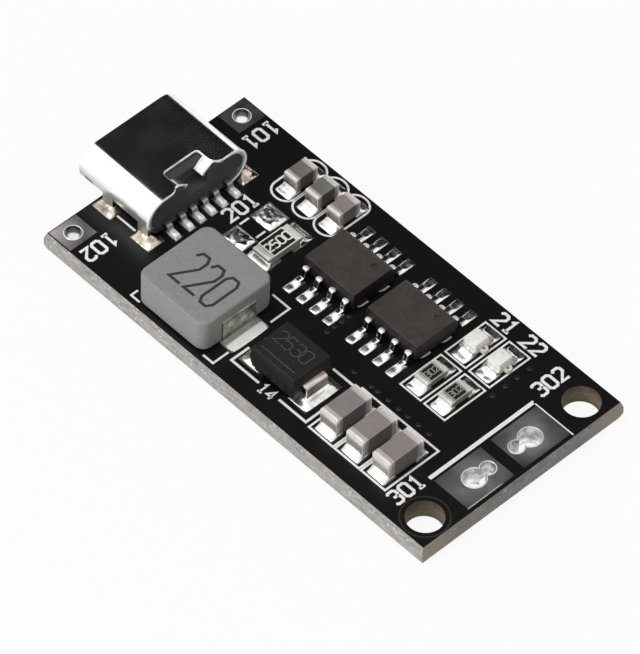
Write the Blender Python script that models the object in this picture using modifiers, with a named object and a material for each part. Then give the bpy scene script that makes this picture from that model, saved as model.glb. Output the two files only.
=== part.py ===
"""Lithium battery charger module: a small scored circuit board with a USB-C receptacle at one end,
a moulded inductor, a diode, two eight-lead ICs, capacitors, resistors, two status LEDs and the
plated pads for the battery at the other end.

Metres, +Z up. The origin is the centre of the board's underside. +X runs from the receptacle to
the battery pads, +Y towards the long edge that carries the input capacitors and the LEDs.
"""

from math import cos
from math import pi
from math import radians
from math import sin
from math import tan

import bmesh
import bpy
from mathutils import Vector

# Board
BOARD_THICKNESS = 0.0016
SCORE_DEPTH = 0.0005
SCORE_SETBACK = 0.00016
PAD_THICKNESS = 0.000035
PAD_ROOT = 0.0001
SOLDER_FILM = 0.00003
FIT = 0.00003
THROUGH = 0.001

# Fixing holes beside the battery pads
FIX_HOLE_DIAMETER = 0.00266
FIX_HOLE_END_INSET = 0.00177
FIX_HOLE_SIDE_INSET = 0.00187

# Input pads in the two corners at the receptacle end
CORNER_PAD_LENGTH = 0.0021
CORNER_PAD_WIDTH = 0.0024
CORNER_PAD_MARGIN = 0.0001
CORNER_HOLE_DIAMETER = 0.0012

# Battery pads, each with two holes that run into each other
BATTERY_PAD_LENGTH = 0.0032
BATTERY_PAD_WIDTH = 0.0042
BATTERY_PAD_SPACING = 0.0009
BATTERY_EDGE_MARGIN = 0.0003
BATTERY_HOLE_DIAMETER = 0.00162
BATTERY_SIDE_HOLE_DIAMETER = 0.00108
BATTERY_SIDE_HOLE_SHIFT = 0.00124

# Receptacle shell
SHELL_WIDTH = 0.00894
SHELL_HEIGHT = 0.00316
SHELL_LENGTH = 0.0068
SHELL_SHEET = 0.0003
SHELL_OVERHANG = 0.0017
SHELL_LIFT = 0.0001
SHELL_CENTRE_Y = -0.0001
SIDE_SLOT_LENGTH = 0.0007
SIDE_SLOT_HEIGHT = 0.00025
SIDE_SLOT_SETBACK = 0.0009
SIDE_SLOT_LIFT = 0.00065
NOTCH_WIDTH = 0.0032
NOTCH_DEPTH = 0.0018
NOTCH_CORNER = 0.0003
NOTCH_FLARE = 0.00075
EAR_LENGTH = 0.00075
EAR_ROOT = 0.00045
EAR_BEND = 0.0006
EAR_REACH = 0.00085
EAR_DROP = 0.0006
EAR_WALL = 0.00012
EAR_SPACE = 0.00006
LEG_WIDTH = 0.001
LEG_DEPTH = 0.0012
LEG_ROOT = 0.00025
LEG_SLOT_SPACE = 0.00015
FRONT_LEG_SETBACK = 0.0028
LEG_PAD_LENGTH = 0.0018
LEG_PAD_WIDTH = 0.0015
REAR_PAD_SHIFT = 0.0003

# Receptacle housing and contacts
HOUSING_DEPTH = 0.0021
HOUSING_RECESS = 0.0001
TONGUE_MARGIN = 0.001125
TONGUE_THICKNESS = 0.0007
TONGUE_TIP_SETBACK = 0.0007
TONGUE_EDGE = 0.00015
REAR_POCKET_WIDTH = 0.0021
REAR_POCKET_DEPTH = 0.0009
REAR_POCKET_FLOOR = 0.0017
CONTACT_SHARES = (-0.411, -0.2272, -0.0747, 0.0747, 0.2272, 0.411)
CONTACT_WIDTH = 0.00046
CONTACT_THICKNESS = 0.00015
CONTACT_PROUD = 0.00002
CONTACT_TIP_SETBACK = 0.00035
CONTACT_DROP = 0.0004
CONTACT_EXIT_HEIGHT = 0.0006
CONTACT_SHOULDER = 0.00025
CONTACT_SLOPE = 0.0002
CONTACT_FOOT = 0.00065
CONTACT_BEND = 0.00012
CONTACT_PAD_WIDTH = 0.00065
CONTACT_PAD_LENGTH = 0.0012
CONTACT_PAD_MARGIN = 0.00015

# Power inductor
INDUCTOR_GAP = 0.00075
INDUCTOR_EDGE_GAP = 0.00045
INDUCTOR_LENGTH = 0.0065
INDUCTOR_WIDTH = 0.0065
INDUCTOR_HEIGHT = 0.0027
INDUCTOR_LIFT = 0.00012
INDUCTOR_CORNER = 0.0008
INDUCTOR_EDGE = 0.0002
STRAP_WIDTH = 0.003
STRAP_THICKNESS = 0.00015
STRAP_TOP = 0.0019
STRAP_SINK = 0.00006
STRAP_ROOT = 0.0005
STRAP_FOOT = 0.0013
STRAP_BEND = 0.00018
INDUCTOR_PAD_LENGTH = 0.0017
INDUCTOR_PAD_WIDTH = 0.0034
INDUCTOR_PAD_REACH = 0.00115

# Power diode
DIODE_GAP = 0.00065
DIODE_LENGTH = 0.0043
DIODE_WIDTH = 0.0035
DIODE_HEIGHT = 0.002
DIODE_LIFT = 0.0003
DIODE_DRAFT = radians(8.0)
DIODE_EDGE = 0.00006
DIODE_LEAD_WIDTH = 0.0019
DIODE_LEAD_THICKNESS = 0.0002
DIODE_LEAD_REACH = 0.00045
DIODE_LEAD_ROOT = 0.0005
DIODE_LEAD_FOOT = 0.0011
DIODE_LEAD_BEND = 0.00022
DIODE_PAD_LENGTH = 0.0022
DIODE_PAD_WIDTH = 0.0034
DIODE_PAD_MARGIN = 0.0006

# Eight-lead ICs
IC_GAP = 0.0015
IC_SPACING = 0.0011
IC_FAR_EDGE_GAP = 0.00174
IC_LENGTH = 0.0049
IC_WIDTH = 0.0039
IC_HEIGHT = 0.00145
IC_LIFT = 0.0001
IC_DRAFT = radians(8.0)
IC_EDGE = 0.00005
IC_CHAMFER = 0.00025
IC_MARK_DIAMETER = 0.0005
IC_MARK_DEPTH = 0.00008
IC_MARK_INSET = 0.001
LEAD_PITCH = 0.00127
LEADS_PER_SIDE = 4
LEAD_WIDTH = 0.00042
LEAD_THICKNESS = 0.0002
LEAD_SPAN = 0.006
LEAD_ROOT = 0.0003
LEAD_SHOULDER = 0.0003
LEAD_SLOPE = 0.00018
LEAD_BEND = 0.00012
LEAD_PAD_WIDTH = 0.00074
LEAD_PAD_LENGTH = 0.0015
LEAD_PAD_MARGIN = 0.001

# Chip parts, 2.0 x 1.25 mm and 3.2 x 1.6 mm, all lying along Y
SMALL_LENGTH = 0.002
SMALL_WIDTH = 0.00125
SMALL_CAP_LENGTH = 0.00042
SMALL_PAD_LENGTH = 0.0012
SMALL_PAD_WIDTH = 0.0014
SMALL_PAD_MARGIN = 0.00077
LARGE_LENGTH = 0.0032
LARGE_WIDTH = 0.0016
LARGE_CAP_LENGTH = 0.00055
LARGE_PAD_LENGTH = 0.0012
LARGE_PAD_WIDTH = 0.00172
LARGE_PAD_MARGIN = 0.00048
SMALL_CAPACITOR_HEIGHT = 0.00125
LARGE_CAPACITOR_HEIGHT = 0.0016
SMALL_RESISTOR_HEIGHT = 0.0005
LARGE_RESISTOR_HEIGHT = 0.0006
CAP_PLATE = 0.00002
SMALL_CAP_EDGE = 0.00012
LARGE_CAP_EDGE = 0.00022
GLAZE_THICKNESS = 0.00004
GLAZE_MARGIN = 0.0001

# Rows of chip parts
INPUT_CAPACITORS = 3
INPUT_ROW_GAP = 0.001
INPUT_ROW_FAR_GAP = 0.00063
INPUT_ROW_SHIFT = -0.0006
INPUT_CAPACITOR_SPACING = 0.00068
OUTPUT_CAPACITORS = 3
OUTPUT_ROW_GAP = 0.0012
OUTPUT_CAPACITOR_SPACING = 0.00074
BATTERY_GAP = 0.00188
SENSE_COLUMN_GAP = 0.00165
SENSE_ROW_GAP = 0.0011
SENSE_PAD_SPACING = 0.00035
SENSE_PAD_LENGTH = 0.00185
SENSE_PAD_WIDTH = 0.002
SENSE_PAD_MARGIN = 0.0008
LED_GAP = 0.00082
LED_FAR_EDGE_GAP = 0.00185
LED_SPACING = 0.00086
LED_COUNT = 2
LED_RESISTOR_GAP = 0.00057
LED_BASE_HEIGHT = 0.0003
LED_LENS_HEIGHT = 0.0005
LED_LENS_LENGTH = 0.0013
LED_LENS_DRAFT = radians(6.0)
LED_LENS_EDGE = 0.00006
LED_END_NOTCH = 0.0003
LED_TAB_WIDTH = 0.0006
LED_TAB_REACH = 0.0004
LED_TAB_THICKNESS = 0.00024
LED_TAB_HOLE = 0.00024

# Facets
ROUND_STEPS = 48
HOLE_STEPS = 32
SHELL_STEPS = 14
BEND_STEPS = 3
MARK_STEPS = 16

# Heights that several pieces share
board_top = BOARD_THICKNESS
pad_top = board_top + PAD_THICKNESS
seat = pad_top + SOLDER_FILM

# The near row sets the board's length: receptacle, inductor, diode, output capacitors, battery pads
contact_reach = CONTACT_SHOULDER + CONTACT_SLOPE + CONTACT_FOOT + CONTACT_PAD_MARGIN
inductor_pad_span = INDUCTOR_LENGTH + 2 * INDUCTOR_PAD_REACH
diode_half_span = DIODE_LENGTH / 2 + DIODE_LEAD_REACH
diode_pad_span = 2 * (diode_half_span + DIODE_PAD_MARGIN)
output_pitch = LARGE_PAD_WIDTH + OUTPUT_CAPACITOR_SPACING
output_row_length = LARGE_PAD_WIDTH + (OUTPUT_CAPACITORS - 1) * output_pitch
near_row = (
    SHELL_LENGTH - SHELL_OVERHANG + contact_reach,
    INDUCTOR_GAP + inductor_pad_span,
    DIODE_GAP + diode_pad_span,
    OUTPUT_ROW_GAP + output_row_length,
    BATTERY_GAP + BATTERY_PAD_LENGTH + BATTERY_EDGE_MARGIN,
)
board_length = sum(near_row)

# The rows one above another set its width: inductor, sense resistor, input capacitors
sense_pad_span = LARGE_LENGTH + 2 * SENSE_PAD_MARGIN
small_pad_span = SMALL_LENGTH + 2 * SMALL_PAD_MARGIN
large_pad_span = LARGE_LENGTH + 2 * LARGE_PAD_MARGIN
board_width = (
    INDUCTOR_EDGE_GAP
    + INDUCTOR_WIDTH
    + SENSE_ROW_GAP
    + sense_pad_span
    + INPUT_ROW_GAP
    + small_pad_span
    + INPUT_ROW_FAR_GAP
)
left_edge = -board_length / 2
right_edge = board_length / 2
near_edge = -board_width / 2
far_edge = board_width / 2

# Places along X
mouth_x = left_edge - SHELL_OVERHANG
rear_x = mouth_x + SHELL_LENGTH
contact_end_x = rear_x + contact_reach
inductor_x = contact_end_x + INDUCTOR_GAP + inductor_pad_span / 2
diode_x = inductor_x + inductor_pad_span / 2 + DIODE_GAP + diode_pad_span / 2
output_x = diode_x + diode_pad_span / 2 + OUTPUT_ROW_GAP + LARGE_PAD_WIDTH / 2
battery_x = right_edge - BATTERY_EDGE_MARGIN - BATTERY_PAD_LENGTH / 2
empty_pad_x = contact_end_x + SENSE_COLUMN_GAP + SENSE_PAD_WIDTH / 2
sense_x = empty_pad_x + SENSE_PAD_WIDTH + SENSE_PAD_SPACING
input_pitch = SMALL_PAD_WIDTH + INPUT_CAPACITOR_SPACING
input_x = empty_pad_x - SENSE_PAD_WIDTH / 2 + INPUT_ROW_SHIFT + SMALL_PAD_WIDTH / 2
ic_pitch = IC_LENGTH + IC_SPACING
ic_x = sense_x + SENSE_PAD_WIDTH / 2 + IC_GAP + IC_LENGTH / 2
led_pitch = SMALL_PAD_WIDTH + LED_SPACING
led_x = ic_x + ic_pitch + IC_LENGTH / 2 + LED_GAP + SMALL_PAD_WIDTH / 2

# Places along Y
power_y = near_edge + INDUCTOR_EDGE_GAP + INDUCTOR_WIDTH / 2
sense_y = power_y + INDUCTOR_WIDTH / 2 + SENSE_ROW_GAP + sense_pad_span / 2
input_y = sense_y + sense_pad_span / 2 + INPUT_ROW_GAP + small_pad_span / 2
ic_y = far_edge - IC_FAR_EDGE_GAP - LEAD_PAD_MARGIN - LEAD_SPAN / 2
led_y = far_edge - LED_FAR_EDGE_GAP - small_pad_span / 2
led_resistor_y = led_y - small_pad_span - LED_RESISTOR_GAP
battery_pad_y = (BATTERY_PAD_SPACING + BATTERY_PAD_WIDTH) / 2

# Receptacle levels and places
shell_axis_z = board_top + SHELL_LIFT + SHELL_HEIGHT / 2
shell_top = shell_axis_z + SHELL_HEIGHT / 2
tongue_width = SHELL_WIDTH - 2 * TONGUE_MARGIN
contact_offsets = [share * tongue_width for share in CONTACT_SHARES]
leg_y = (SHELL_WIDTH - SHELL_SHEET) / 2
front_leg_x = mouth_x + FRONT_LEG_SETBACK
rear_leg_x = rear_x - LEG_WIDTH / 2
housing_front_x = rear_x - HOUSING_DEPTH
housing_rear_x = rear_x - HOUSING_RECESS
ear_x = housing_rear_x - EAR_WALL - EAR_SPACE - EAR_LENGTH / 2

# Materials: name, base colour, roughness, metallic
MASK = ("black_solder_mask", (0.012, 0.011, 0.011), 0.35, 0.0)
STEEL = ("bright_plated_steel", (0.72, 0.72, 0.72), 0.12, 1.0)
BLACK_RESIN = ("black_housing_resin", (0.03, 0.03, 0.03), 0.5, 0.0)
GOLD = ("contact_plating", (0.8, 0.74, 0.6), 0.25, 1.0)
IRON_POWDER = ("grey_iron_powder", (0.22, 0.215, 0.205), 0.6, 0.0)
TIN = ("matt_tin", (0.6, 0.6, 0.57), 0.3, 1.0)
EPOXY = ("black_mould_epoxy", (0.04, 0.038, 0.036), 0.55, 0.0)
WARM_CERAMIC = ("brown_ceramic", (0.26, 0.21, 0.19), 0.5, 0.0)
GREY_CERAMIC = ("grey_ceramic", (0.23, 0.21, 0.2), 0.5, 0.0)
ALUMINA = ("alumina_and_glaze", (0.6, 0.6, 0.56), 0.5, 0.0)
LED_BOARD = ("white_led_base", (0.7, 0.7, 0.66), 0.5, 0.0)
LED_RESIN = ("clear_led_resin", (0.8, 0.78, 0.68), 0.2, 0.0)


def clear_scene():
    for old in list(bpy.data.objects):
        bpy.data.objects.remove(old, do_unlink=True)


def new_collection(name):
    collection = bpy.data.collections.new(name)
    bpy.context.scene.collection.children.link(collection)
    return collection


def material(finish):
    name, colour, roughness, metallic = finish
    made = bpy.data.materials.get(name)
    if made is None:
        made = bpy.data.materials.new(name)
        made.use_nodes = True
        shader = made.node_tree.nodes["Principled BSDF"]
        shader.inputs["Base Color"].default_value = (*colour, 1.0)
        shader.inputs["Roughness"].default_value = roughness
        shader.inputs["Metallic"].default_value = metallic
    return made


def place(name, bm, finish=None, location=(0, 0, 0), turn=0.0):
    """Make an object from bm: a piece of the module if it has a finish, or else a cutter."""
    mesh = bpy.data.meshes.new(name)
    bm.to_mesh(mesh)
    bm.free()
    item = bpy.data.objects.new(name, mesh)
    item.location = location
    item.rotation_euler = (0, 0, turn)
    if finish is None:
        cutters.objects.link(item)
        item.hide_render = True
        item.display_type = "WIRE"
    else:
        parts.objects.link(item)
        mesh.materials.append(material(finish))
    return item


def box(bm, size, centre):
    """Add a box to bm and return its corners."""
    corners = bmesh.ops.create_cube(bm, size=1.0)["verts"]
    bmesh.ops.scale(bm, vec=size, verts=corners)
    bmesh.ops.translate(bm, vec=centre, verts=corners)
    return corners


def boxes(items):
    bm = bmesh.new()
    for size, centre in items:
        box(bm, size, centre)
    return bm


def cylinder(bm, diameter, height, centre, steps):
    made = bmesh.ops.create_cone(
        bm,
        cap_ends=True,
        segments=steps,
        radius1=diameter / 2,
        radius2=diameter / 2,
        depth=height,
    )
    bmesh.ops.translate(bm, vec=centre, verts=made["verts"])


def combine(item, tool, operation):
    boolean = item.modifiers.new(operation.lower() + "_" + tool.name, "BOOLEAN")
    boolean.operation = operation
    boolean.object = tool
    boolean.solver = "EXACT"


def round_edges(item, width, steps, angle=radians(40)):
    bevel = item.modifiers.new("rounded edges", "BEVEL")
    bevel.width = width
    bevel.segments = steps
    bevel.limit_method = "ANGLE"
    bevel.angle_limit = angle
    bevel.use_clamp_overlap = True


def smooth_round(item, angle=radians(35)):
    item.data.shade_smooth()
    item.data.set_sharp_from_angle(angle=angle)


def waisted_block(size, waist_z, draft, lift):
    """A moulded body: widest at its parting plane, drafted above and below it. It stands at z = lift."""
    bm = boxes([(size, (0, 0, lift + size[2] / 2))])
    bmesh.ops.bisect_plane(
        bm,
        geom=bm.verts[:] + bm.edges[:] + bm.faces[:],
        plane_co=(0, 0, waist_z),
        plane_no=(0, 0, 1),
        dist=1e-7,
    )
    for corner in bm.verts:
        inset = abs(corner.co.z - waist_z) * tan(draft)
        corner.co.x -= inset if corner.co.x > 0 else -inset
        corner.co.y -= inset if corner.co.y > 0 else -inset
    return bm


def filleted(corners, radius):
    """The points of a path whose inner corners are replaced by arcs of the given radius."""
    points = [Vector(corners[0])]
    for before, corner, after in zip(corners, corners[1:], corners[2:]):
        here = Vector(corner)
        back = (Vector(before) - here).normalized()
        ahead = (Vector(after) - here).normalized()
        half_angle = back.angle(ahead) / 2
        bisector = (back + ahead).normalized()
        centre = here + bisector * (radius / sin(half_angle))
        reach = radius / tan(half_angle)
        start = here + back * reach - centre
        sweep = pi - 2 * half_angle
        side = 1 if start.cross(here + ahead * reach - centre) > 0 else -1
        for step in range(BEND_STEPS + 1):
            angle = side * sweep * step / BEND_STEPS
            turned = Vector((
                start.x * cos(angle) - start.y * sin(angle),
                start.x * sin(angle) + start.y * cos(angle),
            ))
            points.append(centre + turned)
    points.append(Vector(corners[-1]))
    return points


def strip(name, path, width, thickness, finish=None, location=(0, 0, 0), turn=0.0):
    """A strip of sheet, width wide along its own Y, bent along a path of (x, z) points."""
    bm = bmesh.new()
    rows = []
    for x, z in path:
        rows.append((bm.verts.new((x, -width / 2, z)), bm.verts.new((x, width / 2, z))))
    for here, after in zip(rows, rows[1:]):
        bm.faces.new((here[0], after[0], after[1], here[1]))
    item = place(name, bm, finish, location, turn)
    solid = item.modifiers.new("sheet", "SOLIDIFY")
    solid.thickness = thickness
    solid.offset = 0.0
    solid.use_even_offset = True
    return item


def stadium(width, height):
    """The points (across, up) of a slot-shaped ring about the origin, anticlockwise."""
    radius = height / 2
    flat = width / 2 - radius
    points = []
    for side, start in ((1, -pi / 2), (-1, pi / 2)):
        for step in range(SHELL_STEPS + 1):
            angle = start + pi * step / SHELL_STEPS
            points.append((side * flat + radius * cos(angle), radius * sin(angle)))
    return points


def prism(bm, outline, along):
    """Add the solid that a flat outline sweeps when it moves by the vector along."""
    face = bm.faces.new([bm.verts.new(point) for point in outline])
    swept = bmesh.ops.extrude_face_region(bm, geom=[face])["geom"]
    moved = [item for item in swept if isinstance(item, bmesh.types.BMVert)]
    bmesh.ops.translate(bm, vec=along, verts=moved)
    bmesh.ops.recalc_face_normals(bm, faces=bm.faces[:])


def board_blank():
    """The board as it snaps out of its panel: a web between the two V cuts stands proud of both faces."""
    size = (board_length + 2 * SCORE_SETBACK, board_width + 2 * SCORE_SETBACK, BOARD_THICKNESS)
    bm = boxes([(size, (0, 0, board_top / 2))])
    for height in (SCORE_DEPTH, BOARD_THICKNESS - SCORE_DEPTH):
        bmesh.ops.bisect_plane(
            bm,
            geom=bm.verts[:] + bm.edges[:] + bm.faces[:],
            plane_co=(0, 0, height),
            plane_no=(0, 0, 1),
            dist=1e-7,
        )
    for corner in bm.verts:
        if abs(corner.co.z - board_top / 2) > BOARD_THICKNESS / 2 - SCORE_DEPTH / 2:
            corner.co.x -= SCORE_SETBACK if corner.co.x > 0 else -SCORE_SETBACK
            corner.co.y -= SCORE_SETBACK if corner.co.y > 0 else -SCORE_SETBACK
    return bm


def pad_row(pads, length, width, x, y, reach):
    """Two pads for a chip lying along Y; reach is half the span over both pads."""
    for side in (-1, 1):
        pads.append((width, length, x, y + side * (reach - length / 2)))


def pad_list():
    """Every raised pad as (size along X, size along Y, centre x, centre y)."""
    pads = []
    corner_x = left_edge + CORNER_PAD_MARGIN + CORNER_PAD_LENGTH / 2
    corner_y = far_edge - CORNER_PAD_MARGIN - CORNER_PAD_WIDTH / 2
    for side in (-1, 1):
        pads.append((CORNER_PAD_LENGTH, CORNER_PAD_WIDTH, corner_x, side * corner_y))
        pads.append((BATTERY_PAD_LENGTH, BATTERY_PAD_WIDTH, battery_x, side * battery_pad_y))
        leg_pad_y = SHELL_CENTRE_Y + side * leg_y
        pads.append((LEG_PAD_LENGTH, LEG_PAD_WIDTH, front_leg_x, leg_pad_y))
        pads.append((LEG_PAD_LENGTH, LEG_PAD_WIDTH, rear_leg_x + REAR_PAD_SHIFT, leg_pad_y))
        strap_pad_x = inductor_x + side * (inductor_pad_span - INDUCTOR_PAD_LENGTH) / 2
        pads.append((INDUCTOR_PAD_LENGTH, INDUCTOR_PAD_WIDTH, strap_pad_x, power_y))
        diode_pad_x = diode_x + side * (diode_pad_span - DIODE_PAD_LENGTH) / 2
        pads.append((DIODE_PAD_LENGTH, DIODE_PAD_WIDTH, diode_pad_x, power_y))
    for offset in contact_offsets:
        contact_pad_x = contact_end_x - CONTACT_PAD_LENGTH / 2
        pads.append((CONTACT_PAD_LENGTH, CONTACT_PAD_WIDTH, contact_pad_x, SHELL_CENTRE_Y + offset))
    for x in (empty_pad_x, sense_x):
        pad_row(pads, SENSE_PAD_LENGTH, SENSE_PAD_WIDTH, x, sense_y, sense_pad_span / 2)
    for index in range(INPUT_CAPACITORS):
        x = input_x + index * input_pitch
        pad_row(pads, SMALL_PAD_LENGTH, SMALL_PAD_WIDTH, x, input_y, small_pad_span / 2)
    for index in range(OUTPUT_CAPACITORS):
        x = output_x + index * output_pitch
        pad_row(pads, LARGE_PAD_LENGTH, LARGE_PAD_WIDTH, x, power_y, large_pad_span / 2)
    for index in range(LED_COUNT):
        x = led_x + index * led_pitch
        pad_row(pads, SMALL_PAD_LENGTH, SMALL_PAD_WIDTH, x, led_y, small_pad_span / 2)
        pad_row(pads, SMALL_PAD_LENGTH, SMALL_PAD_WIDTH, x, led_resistor_y, small_pad_span / 2)
    for centre_x in (ic_x, ic_x + ic_pitch):
        for offset in lead_offsets():
            reach = LEAD_SPAN / 2 + LEAD_PAD_MARGIN
            pad_row(pads, LEAD_PAD_LENGTH, LEAD_PAD_WIDTH, centre_x + offset, ic_y, reach)
    return pads


def make_board():
    board = place("pcb", board_blank(), MASK)
    height = PAD_ROOT + PAD_THICKNESS
    copper = boxes([((dx, dy, height), (x, y, pad_top - height / 2)) for dx, dy, x, y in pad_list()])
    combine(board, place("cutter_pads", copper), "UNION")
    drill_length = BOARD_THICKNESS + 2 * THROUGH
    drills = bmesh.new()
    side_drills = bmesh.new()
    hole_x = right_edge - FIX_HOLE_END_INSET
    hole_y = far_edge - FIX_HOLE_SIDE_INSET
    corner_x = left_edge + CORNER_PAD_MARGIN + CORNER_PAD_LENGTH / 2
    corner_y = far_edge - CORNER_PAD_MARGIN - CORNER_PAD_WIDTH / 2
    side_y = battery_pad_y - BATTERY_SIDE_HOLE_SHIFT
    middle = board_top / 2
    for side in (-1, 1):
        cylinder(drills, FIX_HOLE_DIAMETER, drill_length, (hole_x, side * hole_y, middle), ROUND_STEPS)
        corner_hole = (corner_x, side * corner_y, middle)
        cylinder(drills, CORNER_HOLE_DIAMETER, drill_length, corner_hole, HOLE_STEPS)
        battery_hole = (battery_x, side * battery_pad_y, middle)
        cylinder(drills, BATTERY_HOLE_DIAMETER, drill_length, battery_hole, HOLE_STEPS)
        side_hole = (battery_x, side * side_y, middle)
        cylinder(side_drills, BATTERY_SIDE_HOLE_DIAMETER, drill_length, side_hole, HOLE_STEPS)
    slot = stadium(LEG_WIDTH + 2 * LEG_SLOT_SPACE, SHELL_SHEET + 2 * LEG_SLOT_SPACE)
    for x in (front_leg_x, rear_leg_x):
        for side in (-1, 1):
            y = SHELL_CENTRE_Y + side * leg_y
            prism(drills, [(x + u, y + v, -THROUGH) for u, v in slot], (0, 0, drill_length))
    combine(board, place("cutter_drills", drills), "DIFFERENCE")
    combine(board, place("cutter_side_drills", side_drills), "DIFFERENCE")
    smooth_round(board)


def shell_tube():
    bm = bmesh.new()
    ring = stadium(SHELL_WIDTH, SHELL_HEIGHT)
    mouth = [bm.verts.new((mouth_x, SHELL_CENTRE_Y + y, shell_axis_z + z)) for y, z in ring]
    rear = [bm.verts.new((rear_x, SHELL_CENTRE_Y + y, shell_axis_z + z)) for y, z in ring]
    for here in range(len(ring)):
        after = (here + 1) % len(ring)
        bm.faces.new((mouth[here], mouth[after], rear[after], rear[here]))
    return bm


def notch_outline():
    """Half of the rear notch in plan, from its front edge out to the rounded ear at the rear."""
    half = NOTCH_WIDTH / 2
    front = rear_x - NOTCH_DEPTH
    points = []
    for step in range(BEND_STEPS + 1):
        angle = pi - pi / 2 * step / BEND_STEPS
        x = front + NOTCH_CORNER + NOTCH_CORNER * cos(angle)
        y = half - NOTCH_CORNER + NOTCH_CORNER * sin(angle)
        points.append((x, y))
    for step in range(2 * BEND_STEPS + 1):
        angle = -pi / 2 + pi / 2 * step / (2 * BEND_STEPS)
        x = rear_x - NOTCH_FLARE + NOTCH_FLARE * cos(angle)
        y = half + NOTCH_FLARE + NOTCH_FLARE * sin(angle)
        points.append((x, y))
    points.append((rear_x + THROUGH, half + NOTCH_FLARE))
    return points


def make_shell():
    shell = place("usb_shell", shell_tube(), STEEL)
    sheet = shell.modifiers.new("sheet", "SOLIDIFY")
    sheet.thickness = SHELL_SHEET
    sheet.offset = -1.0
    sheet.use_even_offset = True
    half = notch_outline()
    outline = half + [(x, -y) for x, y in reversed(half)]
    notch = bmesh.new()
    notch_height = SHELL_HEIGHT / 2 + THROUGH
    prism(notch, [(x, SHELL_CENTRE_Y + y, shell_axis_z) for x, y in outline], (0, 0, notch_height))
    combine(shell, place("cutter_notch", notch), "DIFFERENCE")
    slot_size = (SIDE_SLOT_LENGTH, SHELL_WIDTH + THROUGH, SIDE_SLOT_HEIGHT)
    slot_x = mouth_x + SIDE_SLOT_SETBACK
    slots = boxes([(slot_size, (slot_x, SHELL_CENTRE_Y, shell_axis_z - SIDE_SLOT_LIFT))])
    combine(shell, place("cutter_side_slots", slots), "DIFFERENCE")
    make_ears(shell)
    leg_top = shell_axis_z + LEG_ROOT
    leg_bottom = board_top - LEG_DEPTH
    size = (LEG_WIDTH, SHELL_SHEET - 2 * FIT / 3, leg_top - leg_bottom)
    legs = []
    for x in (front_leg_x, rear_leg_x - FIT):
        for side in (-1, 1):
            legs.append((size, (x, SHELL_CENTRE_Y + side * leg_y, (leg_top + leg_bottom) / 2)))
    combine(shell, place("cutter_legs", boxes(legs)), "UNION")
    smooth_round(shell)


def make_ears(shell):
    """The tabs beside the notch that curl down over the housing."""
    level = shell_top - SHELL_SHEET / 2
    half = NOTCH_WIDTH / 2
    corners = [
        (half + EAR_ROOT, level),
        (half, level),
        (half - EAR_REACH, level - EAR_DROP),
    ]
    path = filleted(corners, EAR_BEND)
    for side, turn in ((1, pi / 2), (-1, -pi / 2)):
        name = "cutter_ear_far" if side > 0 else "cutter_ear_near"
        where = (ear_x, SHELL_CENTRE_Y, 0)
        ear = strip(name, path, EAR_LENGTH, SHELL_SHEET - FIT, None, where, turn)
        combine(shell, ear, "UNION")


def contact_path(upper, extra):
    """A contact from the tongue through the housing to its foot; extra lengthens both ends."""
    face = TONGUE_THICKNESS / 2 + CONTACT_PROUD - CONTACT_THICKNESS / 2
    level = shell_axis_z + (face if upper else -face)
    tip = mouth_x + TONGUE_TIP_SETBACK + CONTACT_TIP_SETBACK - extra
    drop = housing_front_x + CONTACT_DROP
    exit_z = board_top + CONTACT_EXIT_HEIGHT
    foot_z = seat + CONTACT_THICKNESS / 2
    shoulder = rear_x + CONTACT_SHOULDER
    corners = [
        (tip, level),
        (drop, level),
        (drop, exit_z),
        (shoulder, exit_z),
        (shoulder + CONTACT_SLOPE, foot_z),
        (shoulder + CONTACT_SLOPE + CONTACT_FOOT + extra, foot_z),
    ]
    return filleted(corners, CONTACT_BEND)


def make_housing():
    section = stadium(SHELL_WIDTH - 2 * (SHELL_SHEET + FIT), SHELL_HEIGHT - 2 * (SHELL_SHEET + FIT))
    bm = bmesh.new()
    outline = [(housing_front_x, SHELL_CENTRE_Y + y, shell_axis_z + z) for y, z in section]
    prism(bm, outline, (housing_rear_x - housing_front_x, 0, 0))
    housing = place("usb_housing", bm, BLACK_RESIN)
    tip = mouth_x + TONGUE_TIP_SETBACK
    length = housing_front_x - tip + HOUSING_DEPTH / 4
    tongue_size = (length, tongue_width, TONGUE_THICKNESS)
    tongue_centre = (tip + length / 2, SHELL_CENTRE_Y, shell_axis_z)
    tongue = place("cutter_tongue", boxes([(tongue_size, tongue_centre)]))
    round_edges(tongue, TONGUE_EDGE, 1)
    combine(housing, tongue, "UNION")
    floor = board_top + REAR_POCKET_FLOOR
    pocket_size = (REAR_POCKET_DEPTH + THROUGH, REAR_POCKET_WIDTH, shell_top - floor)
    pocket_x = housing_rear_x - REAR_POCKET_DEPTH + pocket_size[0] / 2
    ear_floor = shell_top - EAR_DROP - SHELL_SHEET - EAR_SPACE
    ear_size = (EAR_LENGTH + 2 * EAR_SPACE, NOTCH_WIDTH + EAR_ROOT, shell_top - ear_floor)
    pocket = boxes([(pocket_size, (pocket_x, SHELL_CENTRE_Y, (shell_top + floor) / 2))])
    combine(housing, place("cutter_pocket", pocket), "DIFFERENCE")
    ear_pocket = boxes([(ear_size, (ear_x, SHELL_CENTRE_Y, (shell_top + ear_floor) / 2))])
    combine(housing, place("cutter_ear_pocket", ear_pocket), "DIFFERENCE")
    for number, offset in enumerate(contact_offsets, 1):
        path = contact_path(number % 2 == 1, FIT)
        where = (0, SHELL_CENTRE_Y + offset, 0)
        width = CONTACT_WIDTH + 2 * FIT
        depth = CONTACT_THICKNESS + 2 * FIT
        channel = strip(f"cutter_channel_{number}", path, width, depth, None, where)
        combine(housing, channel, "DIFFERENCE")
    smooth_round(housing)


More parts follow.
